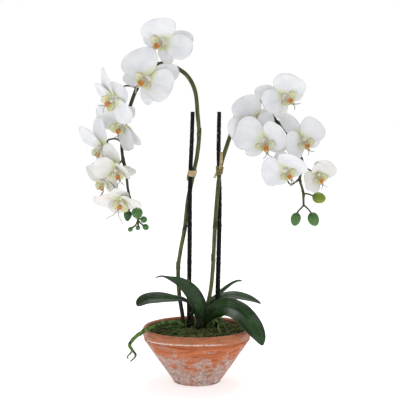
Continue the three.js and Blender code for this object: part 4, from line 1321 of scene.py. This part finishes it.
@dataclass
class Spike:
    """A flower spike with the stalks of its blooms and buds.

    nodes are the places of its bare joints, each swollen and clasped by a scale. tones say how dark its
    skin is, as (share of its length, darkness): painted light keeps it fresh green where it bends into the
    light, and painted shade darkens it behind the blooms and low on the stem.
    """

    side: Side
    points: Sequence[Vec]
    nodes: Sequence[Vec]
    tones: Sequence[Vec]
    foot: float = 62.0
    radii: Vec = (3.9, 3.9, 3.9, 2.2)
    joint_swell: Vec = (3.2, 0.16)
    joint_scale: float = 12.0
    stalk_scale: float = 8.0
    stalk_radii: Vec = (2.3, 1.7, 1.6, 1.7, 2.6)
    bud_stalk_radii: Vec = (2.0, 1.7, 1.6, 2.1)

    def scale_leaf(self, heap: Heap, route: Route, at: float, reach: float, spin: float) -> None:
        """Adds the dry scale that clasps the stem at a joint.

        Args:
            heap: Where it goes.
            route: The stem's line.
            at: The joint's share of the stem's length.
            reach: The scale's length in millimetres.
            spin: Which side it rises on, in radians.
        """
        t, v = np.linspace(0, 1, 10)[:, None], np.linspace(-1, 1, 11)
        along = at + np.linspace(0, reach, 10) / route.length
        first, second = (d[1:] for d in route.frames(np.concatenate([[at - 0.002], along])))
        spoke = spokes(first, second, spin + v * 1.9 * (1 - t) ** 0.7)
        stand = np.interp(at, np.linspace(0, 1, len(self.radii)), self.radii) + 0.25 + 0.9 * t**1.5
        heap.blade(route.at(along)[:, None] + spoke * stand[..., None], spoke, 0.5 * (1.1 - t) + 0 * v,
                   grid(t, v, 0.75))

    def build(self, blooms: Sequence[Bloom], buds: Sequence[Bud]) -> None:
        """Makes the spike with its joints, flower stalks and bud stalks.

        Args:
            blooms: The open flowers that it carries.
            buds: The buds that it carries.
        """
        route = planted(self.points, self.foot)
        places = [float(route.reach[int(np.argmin(np.linalg.norm(route.line - np.array(p, float), axis=1)))])
                  for p in (*self.nodes, *(bloom.start for bloom in blooms))]
        heap = Heap()
        heap.limb(route, self.radii, 18, 1.8, tones=self.tones, lumps=0.06, lump_size=14.0,
                  swell=[(at, *self.joint_swell) for at in places])
        for i, at in enumerate(places):
            reach = self.joint_scale if i < len(self.nodes) else self.stalk_scale
            self.scale_leaf(heap, route, at / route.length, reach, 1.2 + 2.4 * i)
        for bloom in blooms:
            heap.limb(bloom.stalk_route(), self.stalk_radii, 12, 1.2, tones=((0, 0.75),), lumps=0.08,
                      swell=[(1.5, 2.5, 0.3)])
        for bud in buds:
            end = np.array(bud.stalk[-1], float)
            heap.limb(Route([*bud.stalk, end + (bud.at - end) * 0.35]), self.bud_stalk_radii, 10, 1.0,
                      tones=((0, 0.45),), lumps=0.08)
        side = self.side.value
        heap.piece(f"flower_stem_{side}", StemSkin("flower stem skin"), Slot.STEM, f"spike_{side}")


@dataclass
class Tie:
    """Raffia wound round a cane and its spike, knotted at the front.

    algae says how stained the turns are. Each tail is its points, half its width and its own stain.
    """

    side: Side
    foot: float
    height: float
    algae: float
    tails: Sequence[tuple[Sequence[Vec], float, float]]
    turns: int = 5
    overlap: float = 1.24
    stand: float = 5.3
    thickness: float = 1.1
    # Half-sizes of the knot and of the hitch beside it, and where that is from it
    knot: Vec = (3.0, 1.5, 3.4)
    hitch: Vec = (2.6, 1.0, 1.6)
    hitch_at: Vec = (2.4, 0.3, 1.2)

    def build(self, stems: Sequence[Route]) -> None:
        """Makes the turns round both stems, the knot and the loose ends as flat fibre strips.

        Args:
            stems: The middle lines of the cane and the spike.
        """
        draw = np.random.default_rng(SEED + int(self.foot))
        heap, step = Heap(), self.height / self.turns
        for i in range(self.turns):
            slope, sway = draw.uniform(-1.2, 1.2), draw.uniform(-0.25, 0.35)
            turn = self.loop(stems, self.foot + step * (i + 0.5), slope, sway)
            self.strip(heap, turn, step * self.overlap / 2, self.algae, True)
        front = self.loop(stems, self.foot + self.height / 2, 0, 0.8)
        nearest = front[int(np.argmin(front[:, 1]))]
        heap.ball(nearest, self.knot, 8, 12, self.algae)
        heap.ball(nearest + self.hitch_at, self.hitch, 7, 10, self.algae)
        for points, half, algae in self.tails:
            self.strip(heap, smooth_line(points, 8), half, algae, False)
        side = self.side.value
        heap.piece(f"raffia_{side}", DriedFibre("raffia"), Slot.RAFFIA, f"tie_{side}")

    def loop(self, stems: Sequence[Route], height: float, slope: float, sway: float) -> np.ndarray:
        """Lays one turn round the stems.

        Args:
            stems: The middle lines of the cane and the spike.
            height: Its middle height in millimetres.
            slope: How far it climbs from side to side.
            sway: How far it stands off further than the rest.

        Returns:
            The points of its middle line, in order.
        """
        centres = np.array([stem.line[int(np.argmax(stem.line[:, 2] >= height))][:2] for stem in stems])
        turn = ring(56)
        spoke = np.stack([np.cos(turn), np.sin(turn)], -1)
        base = centres[np.argmax(spoke @ centres.T, axis=1)]
        ease = (base + np.roll(base, 1, 0) + np.roll(base, -1, 0)) / 3
        return np.column_stack([ease + spoke * (self.stand + sway), height + slope * np.cos(turn - 0.8)])

    def strip(self, heap: Heap, line: np.ndarray, half: float, algae: float, closed: bool) -> None:
        """Adds a flat strip along a line, its broad side to the stem.

        Args:
            heap: Where it goes.
            line: The strip's middle line.
            half: Half its width in millimetres.
            algae: How far it is stained.
            closed: True where the line comes round on itself.
        """
        ahead = unit(np.roll(line, -1, 0) - np.roll(line, 1, 0) if closed else np.gradient(line, axis=0))
        lean = np.array([0, 0, 1.0]) if closed else np.array([0.9, 0.2, 0.3])
        broad = unit(lean - ahead * (ahead @ lean)[:, None])
        points = line[:, None] + spokes(broad * half, np.cross(ahead, broad) * self.thickness / 2, ring(10))
        heap.sleeve(np.concatenate([points, points[:1]]) if closed else points, (0, 0, algae), ends=False)


@dataclass
class Root:
    """Aerial roots that grow from one side of the plant. Each run is its points and its radii."""

    side: Side
    runs: Sequence[tuple[Sequence[Vec], Vec]]

    def build(self) -> None:
        """Makes each run knobbly and ends it in a blunt tip."""
        heap = Heap()
        for points, radii in self.runs:
            heap.limb(Route(points), radii, 16, 1.2, lumps=0.32, lump_size=6.5)
        heap.piece(f"aerial_roots_{self.side.value}", ROOT_SKIN, Slot.ROOT, f"root_{self.side.value}")


@dataclass
class Leaf:
    """One strap-shaped leaf, folded a little along its midrib.

    faces are the ways its upper face looks at the root and further out. root is the share of the width
    that it has at its root, tip the width near its end, and rise and fall shape the outline. fold is the
    slope of its halves in degrees.
    """

    name: str
    rib: Sequence[Vec]
    faces: tuple[Vec, Vec]
    width: float
    root: float
    rise: float
    fall: float
    fold: float
    thickness: float = 2.0
    tip: float = 4.4
    wave: float = 0.8
    # How round the fold is at the midrib and how far each half bulges, as shares of the half-width
    softness: float = 0.006
    bulge: float = 0.05
    rows: int = 64
    columns: int = 22

    def build(self) -> None:
        """Makes the blade from the same outline as the solid, with a grooved rib and a soft edge."""
        route, seed, fold = Route(self.rib), float(sum(map(ord, self.name))), math.radians(self.fold)
        u, v = eased(self.rows), crowded(self.columns, 1.2)
        centre, ahead = route.at(u), route.tangent(u)
        u = u[:, None]
        mix = np.minimum(1, u * 3)
        up = np.array(self.faces[0], float) * (1 - mix) + np.array(self.faces[1], float) * mix
        up = unit(up - ahead * np.sum(up * ahead, -1, keepdims=True))
        side = np.cross(ahead, up)
        half = np.maximum.reduce([self.width / 2 * outline(np.minimum(u, 0.9997), self.rise, self.fall),
                                  self.width / 2 * self.root * (1 - u), self.tip / 2 * np.sqrt(1 - u**12),
                                  0 * u + 0.4])
        ridge = (np.sqrt(v * v + self.softness) - math.sqrt(self.softness)) * math.sin(fold)
        ridge = ridge + self.bulge * np.sin(math.pi * np.abs(v))
        edge = edge_wave(u, v, self.wave, 2.2, 0.37, seed)
        rise = half * ridge + edge * np.minimum(1, half / 12)
        points = centre[:, None] + side[:, None] * (half * v * math.cos(fold))[..., None]
        points = points + up[:, None] * rise[..., None]
        points = points + up[:, None] * (0.35 * ripple(points, 18.0, seed))[..., None]
        lean = np.gradient(rise, axis=1) / np.maximum(np.gradient(half * v, axis=1), 1e-4)
        normal = unit(up[:, None] - side[:, None] * np.clip(lean, -1, 1)[..., None])
        thick = self.thickness * (0.3 + 0.7 * (1 - np.abs(v) ** 3)) * (1 - 0.6 * u**4)
        heap = Heap()
        heap.blade(points, normal, thick, grid(u, v, 1))
        heap.piece(f"leaf_blade_{self.name}", LEAF_SKIN, Slot.LEAF, f"leaf_{self.name}")


@dataclass
class Crown:
    """The short stem that the leaves grow from, wrapped in the sheaths of their bases."""

    at: Vec = (3.0, 0.0, 0.0)
    heights: Vec = (66, 90, 108, 117, 122)
    radii: Vec = (6.2, 7.0, 6.6, 4.6, 0.9)
    sheath_pitch: float = 26.0

    def build(self) -> None:
        """Makes the stem with overlapping sheaths as low ridges."""
        z, turn = np.linspace(self.heights[0], self.heights[-1], 40)[:, None], ring(48)
        step = (turn * 3 / math.tau + (z - self.heights[0]) / self.sheath_pitch) % 1
        heap = Heap()
        heap.sleeve(turned(np.interp(z, self.heights, self.radii) * (0.93 + 0.09 * step), turn, z) + self.at,
                    (0.2, 0.6, 1.0))
        heap.piece("leaf_sheaths", SHEATH_SKIN, Slot.LEAF, "crown")


# The plant, from the same points as the solid model

BLOOMS = (
    Bloom("left_1", (-60, 4, 605), (-62, -32, 645), (-10, 4, -48), 1.04, tendril=0.6,
          dorsal=dict(angle=34, length=52), lateral_right=dict(angle=118, length=40),
          lateral_left=dict(angle=-125, length=38), petal_left=dict(angle=-62, length=44, width=64, lift=42),
          petal_right=dict(angle=59, length=54, width=45, lift=12)),
    Bloom("left_2", (-90, 4, 596), (-90, -44, 578), (-8, 0, -50), 1.1,
          dorsal=dict(angle=25, length=52, width=34), lateral_right=dict(angle=133, length=44, width=24),
          lateral_left=dict(angle=-140, length=44, width=26),
          petal_left=dict(angle=-75, length=50, width=65, lift=6),
          petal_right=dict(angle=66, length=44, width=58, lift=14)),
    Bloom("left_3", (-112, 4, 560), (-151, -42, 541), (-44, -26, -66), 1,
          via=((-123, -6, 564), (-136, -17, 563)),
          dorsal=dict(angle=-16, length=31, width=48), lateral_right=dict(length=30, lift=10),
          lateral_left=dict(angle=-136, length=62),
          petal_left=dict(angle=-89, length=60, width=50, lift=-8, turn=18),
          petal_right=dict(angle=86, length=50, width=54, lift=12)),
    Bloom("left_4", (-135, 4, 496), (-138, -17, 494), (-40, -16, -20), 1, stalk=9, tendril=0.7,
          dorsal=dict(length=34, lift=-35), lateral_right=dict(angle=140, length=50, lift=-10),
          lateral_left=dict(angle=-130, length=30), petal_left=dict(angle=-88, length=62, width=47, lift=12),
          petal_right=dict(angle=142, length=50, width=44, lift=19, turn=-8)),
    Bloom("left_5", (-142, 4, 460), (-176, -10, 448), (-62, 0, 0), 0.96, stalk=9,
          via=((-154, 2, 465), (-168, -2, 462)), tendril=1.4,
          dorsal=dict(length=60, width=34, lift=16, turn=-24),
          lateral_right=dict(angle=150), lateral_left=dict(angle=-142, lift=10),
          petal_left=dict(angle=-48, length=65, width=33, lift=38),
          petal_right=dict(angle=130, length=42, width=40, lift=-10)),
    Bloom("left_6", (-140, 4, 427), (-148, -36, 412), (-12, -35, 12), 0.96, stalk=9, cream=True,
          dorsal=dict(angle=-4, length=52), lateral_right=dict(angle=128, length=36),
          lateral_left=dict(angle=-142), petal_left=dict(angle=-58, length=46, width=56, lift=22),
          petal_right=dict(angle=80, length=38, width=42, lift=46)),
    Bloom("left_7", (-134, 4, 398), (-173, 2, 386), (-62, -15, -5), 0.94, tendril=1.6, cream=True,
          petal_left=dict(angle=-42, width=32, fall=0.7, lift=36, turn=-28),
          petal_right=dict(angle=110, length=34, width=36, lift=-10)),
    Bloom("left_8", (-128, 5, 352), (-139, -32, 354), (-8, -50, -28), 0.96, tendril=2.2, cream=True,
          dorsal=dict(angle=-30, width=40, lift=18), lateral_right=dict(angle=105, length=32, lift=18),
          lateral_left=dict(angle=-178, length=46, width=34, lift=15),
          petal_left=dict(angle=-127, length=60, width=50, fall=0.7, lift=5, flush=1),
          petal_right=dict(angle=28, length=48, width=46, lift=34)),
    Bloom("right_1", (132, 6, 528), (161, -32, 544), (10, 4, 48), 0.98,
          dorsal=dict(angle=-30, length=54), lateral_right=dict(angle=125, length=40),
          lateral_left=dict(angle=-115, length=40), petal_left=dict(angle=-62, length=46, width=48, lift=20),
          petal_right=dict(angle=66, length=45, width=64, lift=36)),
    Bloom("right_2", (98, 5, 530), (106, -14, 498), (10, 5, 74), 0.98,
          dorsal=dict(length=38), lateral_right=dict(length=38, lift=8),
          petal_left=dict(angle=-52, length=52), petal_right=dict(angle=46, length=50)),
    Bloom("right_3", (143, 6, 509), (126, -42, 463), (-8, 0, 13), 1.08,
          dorsal=dict(angle=14, length=50), lateral_right=dict(angle=122, length=38),
          lateral_left=dict(angle=-112, length=40), petal_left=dict(angle=-54, length=54, lift=0),
          petal_right=dict(angle=74, length=44, width=54, lift=46)),
    Bloom("right_4", (176, 6, 467), (197, -32, 464), (10, 0, 25), 0.94,
          dorsal=dict(angle=-14, length=66), lateral_right=dict(angle=122, length=36),
          lateral_left=dict(angle=-122, length=36), petal_left=dict(angle=-86, length=48, width=58, lift=38),
          petal_right=dict(angle=66, length=47, width=56, lift=10)),
    Bloom("right_5", (195, 5, 389), (164, -58, 410), (0, -8, 30), 0.92,
          via=((182, -6, 381), (176, -22, 380), (168, -38, 390)),
          dorsal=dict(angle=8, length=38), lateral_right=dict(angle=122, length=34),
          lateral_left=dict(angle=-122, length=34), petal_left=dict(angle=-64, lift=10),
          petal_right=dict(angle=62, width=66, lift=48)),
    Bloom("right_6", (199, 6, 414), (226, -30, 399), (8, -5, 22), 0.84, cream=True,
          dorsal=dict(angle=10, length=42, lift=50), lateral_right=dict(angle=98, length=46),
          lateral_left=dict(angle=-125, length=40, lift=0),
          petal_left=dict(angle=-104, length=44, width=52, lift=40),
          petal_right=dict(angle=54, width=54, lift=48)),
)
BUDS = (
    Bud("left_1", (-113, -7, 325.5), (0.1, -0.8, 0.2), (22, 21.5), ((-117, 9, 325), (-115, 6, 325))),
    Bud("left_2", (-101, 4, 311.5), (1, -0.2, 0), (13, 13), ((-112, 8, 313), (-108.5, 6, 312.5))),
    Bud("left_3", (-97.5, 4, 297), (0.8, 0, -0.6), (12.5, 12),
        ((-112, 8, 309), (-107, 6, 304), (-103, 5, 300.5))),
    Bud("left_4", (-112.5, 4, 295.5), (0, 0, -1), (9.5, 9),
        ((-112.5, 8, 310), (-112, 6, 304), (-112, 4.5, 301))),
    Bud("left_5", (-127, 4, 292.5), (-0.8, 0, -0.5), (10, 9.5),
        ((-112.5, 8, 310), (-117, 6, 300.5), (-123, 4.5, 296))),
    Bud("left_6", (-132, 8, 318), (-0.1, 0, -1), (21, 15.5),
        ((-122, 7, 337), (-126, 8.5, 334), (-129.5, 8.5, 329)), point=0.6, finish=YOUNG_BUD),
    Bud("right_1", (232, 5, 353), (1, 0, -0.25), (26, 21.5),
        ((201.4, 5, 360.8), (209, 5, 360.6), (219, 5, 357.5)), finish=RIPE_BUD),
    Bud("right_2", (188, 5, 312), (-0.2, 0, -1), (26, 19.5), ((203, 5, 339), (197, 5, 332), (192, 5, 326.5))),
    Bud("right_3", (222, 5, 312), (0.4, 0, -1), (27.5, 21.5),
        ((203, 5, 339), (210, 5, 333), (215.5, 5, 326.5))),
)
LEAVES = (
    Leaf("a", rib=((-8.5, -4, 108), (-9, -6, 130), (-13, -9, 149), (-26, -15, 160), (-47, -20, 162),
                   (-74, -22, 163), (-96, -25, 161), (-114, -28, 152)),
         faces=((0.3, -0.8, 0.3), (0, -0.5, 0.85)), width=33, root=0.2, rise=1.9, fall=0.45, fold=18),
    Leaf("b", rib=((2.4, -10, 103.5), (5.4, -12, 121), (5.2, -13.5, 138), (2, -16, 151), (-4, -18, 163),
                   (-14, -20.5, 178), (-32, -22, 194.5), (-50, -22, 202), (-66, -21, 206.5),
                   (-79.5, -21, 203.5)),
         faces=((0.1, -0.95, 0.1), (0.3, -0.75, 0.6)), width=37, root=0.3, rise=1.35, fall=2, fold=12),
    Leaf("c", rib=((13, -9.5, 104), (17.5, -14, 117), (25, -20, 132), (38, -27, 144), (58, -37, 149),
                   (82, -49, 140), (103, -59, 118), (117, -64, 97), (122.5, -65, 83.5)),
         faces=((0.1, -0.95, 0.2), (0.5, -0.75, 0.4)), width=47, root=0.14, rise=1.05, fall=0.64, fold=10),
    Leaf("d", rib=((12.5, 6, 106), (22, 15, 130), (33, 23, 146), (48, 28, 155), (72, 34, 158),
                   (97, 42, 152), (125, 50, 141)),
         faces=((-0.4, -0.2, 0.8), (0.1, -0.35, 0.9)), width=30, root=0.26, rise=0.8, fall=0.45, fold=14),
    Leaf("e", rib=((5, 10, 110), (12, 15, 132), (25, 18, 151), (36, 19, 159), (46, 19, 167), (60, 20, 178),
                   (71, 20, 186), (81, 20, 190), (87, 20, 190)),
         faces=((-0.6, 0.3, 0.6), (-0.3, -0.2, 0.9)), width=18, root=0.5, rise=0.6, fall=0.35, fold=18),
)
CANES = (
    Cane(Side.LEFT, ((-15.5, 6, 110), (-15, 6, 180), (-14, 6, 260), (-13.5, 6, 349), (-12, 6, 413),
                     (-10, 6, 457), (-8, 6, 516)), radii=(4.3, 4.3, 3.8)),
    Cane(Side.RIGHT, ((39, 4, 110), (40, 4, 182), (42, 4, 270), (43, 4, 349), (41, 4, 433), (42, 4, 516)),
         radii=(4.9, 4.3, 3.8)),
)
SPIKES = (
    Spike(Side.LEFT,
          points=((-27, 10, 112), (-28, 10, 126), (-34, 11, 165), (-36, 13, 217), (-32, 14, 248),
                  (-24, 15, 290), (-17, 16, 350), (-12, 16, 373), (-6, 14, 401), (1, 11, 438), (4, 9, 474),
                  (1.3, 8, 510), (-3.6, 6, 555), (-17, 5, 582), (-36, 4, 597), (-58, 4, 605), (-75, 4, 605),
                  (-90, 4, 596), (-105, 4, 575), (-117, 4, 551), (-128, 4, 519), (-137, 4, 485),
                  (-142, 4, 451), (-140, 4, 427), (-134, 4, 398), (-131, 4, 370), (-125, 6, 343),
                  (-116, 9, 322), (-112, 8, 308)),
          nodes=((-36, 13, 217), (-24, 15, 290), (3.9, 9, 474), (-139, 4, 425)),
          tones=((0.03, 0), (0.07, 1), (0.1, 1), (0.14, 0.1), (0.33, 0.12), (0.4, 0.33), (0.58, 0.45),
                 (0.65, 0.7), (0.85, 0.75), (1, 0.25))),
    Spike(Side.RIGHT,
          points=((14, -2, 112), (14.5, -2, 126), (21, -3, 152), (26, -4, 177), (30, -5, 216), (32, -6, 254),
                  (34, -6, 298), (37, -7, 340), (41, -7, 386), (46, -6, 418), (59, -3, 460), (72, 1, 495),
                  (89, 4, 523), (109, 6, 537), (125, 6, 534), (137, 6, 519), (149, 6, 499), (163, 6, 489),
                  (175, 6, 468), (188, 6, 444), (199, 6, 425), (198, 5, 402), (195, 5, 389), (201, 5, 366),
                  (203, 5, 338)),
          nodes=((31, -5, 235), (34, -6, 298), (163, 6, 489), (201, 5, 366)),
          tones=((0, 0.6), (0.13, 0.1), (0.26, 0.07), (0.42, 0.52), (0.52, 0.36), (0.66, 0.82), (0.83, 0.8),
                 (1, 0.45))),
)
ROOTS = (
    Root(Side.LEFT, (
        (((-21, -2, 97), (-28, -8, 110), (-42, -14, 115), (-59, -22, 117), (-72, -32, 115), (-84, -44, 113),
          (-95, -52, 111), (-106, -54, 104), (-116, -54, 96), (-123, -53, 88), (-126, -52, 80),
          (-122, -51, 73), (-118, -50, 67)), (3.4, 4, 4.1, 3.6, 2.8)),
        (((-119.5, -50.5, 69), (-115, -50, 63), (-117, -50, 57), (-122, -50, 52), (-126, -50, 49)),
         (2.6, 1.7, 1.2)),
        (((-120.5, -50.5, 71), (-125, -50, 65), (-130, -50, 59), (-129, -50, 54)), (2.4, 1.6, 1.1)))),
    Root(Side.RIGHT, (
        (((20.2, -3.5, 103), (28, -9, 116), (37, -20, 121), (40, -30, 117), (41, -38, 109), (44, -46, 102.5),
          (56, -47, 102), (70, -40, 108)), (2, 2.2, 2, 1.6)),
        (((28, -9, 116), (38, -15, 124), (47, -22, 125), (50, -31, 117), (56, -40, 108), (60, -45, 103.5)),
         (1.9, 1.9, 1.7, 1.4)))),
)
TIES = (
    Tie(Side.LEFT, foot=393.5, height=11, algae=0.0,
        tails=((((-17.3, 2, 397), (-18, 1, 392), (-17.8, 0.6, 386)), 1.5, 0.9),)),
    Tie(Side.RIGHT, foot=399.5, height=13, algae=0.95,
        tails=((((38, -2, 403), (36, -5, 398.5), (32.6, -7, 391.5)), 2.2, 0.15),
               (((44.5, -11, 407), (45.5, -12.9, 425), (46, -12.5, 441)), 2.9, 0.4))),
)


# Studio


@dataclass
class Studio:
    """A pale floor, soft light and the camera at the photograph's angle. Lengths are metres."""

    eye: Vec = (0.00578, -2.0765, 0.5455)
    pitch_deg: float = 5.4
    lens_mm: float = 99.0
    sensor_mm: float = 36.0
    floor_half: float = 9.0
    aim: Vec = (0, 0, 0.33)
    # Colour and strength of the light all round, and of what shows behind the plant
    haze: tuple[str, float] = ("#f8f8fa", 0.68)
    backdrop: tuple[str, float] = ("#ffffff", 1.0)
    # Each light's name, place, width and watts
    lights: Sequence[tuple[str, Vec, float, float]] = (
        ("key", (-1.5, -1.7, 2.0), 1.5, 41.0), ("fill", (1.9, -1.2, 1.1), 1.8, 11.0),
        ("top", (0.3, 1.0, 2.4), 1.3, 22.0))

    def put(self, name: str, data: bpy.types.ID, at: Vec = (0, 0, 0),
            turn: Vec = (0, 0, 0)) -> bpy.types.Object:
        """Stands something in the studio.

        Args:
            name: The new object's name.
            data: Its mesh, light or camera.
            at: Its place in metres.
            turn: Its rotation in radians.

        Returns:
            The object.
        """
        thing = bpy.data.objects.new(name, data)
        thing.location, thing.rotation_euler = at, turn
        bpy.context.scene.collection.objects.link(thing)
        return thing

    def build(self) -> None:
        """Makes the floor, the lights, the sky and the camera."""
        mesh, h = bpy.data.meshes.new("floor"), self.floor_half
        mesh.from_pydata([(-h, -h, 0), (h, -h, 0), (h, h, 0), (-h, h, 0)], [], [(0, 1, 2, 3)])
        mesh.materials.append(dressing(PaleBoard("pale board")))
        self.put("floor", mesh)
        for name, at, width, watts in self.lights:
            lamp = bpy.data.lights.new(name, "AREA")
            lamp.size, lamp.energy = width, watts
            x, y, z = unit(np.array(self.aim) - at)
            self.put(name, lamp, at, (math.acos(z) + math.pi, 0, math.atan2(y, x) + 1.5 * math.pi))
        self.sky()
        lens = bpy.data.cameras.new("camera")
        lens.lens, lens.sensor_width = self.lens_mm, self.sensor_mm
        tilt = math.radians(90 - self.pitch_deg)
        bpy.context.scene.camera = self.put("camera", lens, self.eye, (tilt, 0, 0))
        bpy.context.scene.view_settings.view_transform = "Standard"

    def sky(self) -> None:
        """Surrounds the scene with even pale light, white where it is looked at directly."""
        world = bpy.data.worlds.new("studio")
        bpy.context.scene.world = world
        world.use_nodes = True
        tree = world.node_tree
        tree.nodes.clear()
        lit, seen = (add(tree, "Background", *look) for look in (self.haze, self.backdrop))
        looked_at = add(tree, "LightPath", out="Is Camera Ray")
        add(tree, "OutputWorld", add(tree, "MixShader", looked_at, lit, seen))


def main() -> None:
    """Builds every piece in order and writes how large the dressed model is."""
    logging.basicConfig(level=logging.INFO, format="%(name)s %(message)s")
    for part in (Studio(), Bowl(), Planting(), Crown(), *LEAVES):
        part.build()
    for cane, spike, root, tie in zip(CANES, SPIKES, ROOTS, TIES):
        side = spike.side.value
        cane.build()
        spike.build(*([part for part in parts if part.name.startswith(side)] for parts in (BLOOMS, BUDS)))
        root.build()
        tie.build((Route(cane.points), Route(spike.points)))
    for part in (*BUDS, *BLOOMS):
        part.build()


if __name__ == "__main__":
    main()
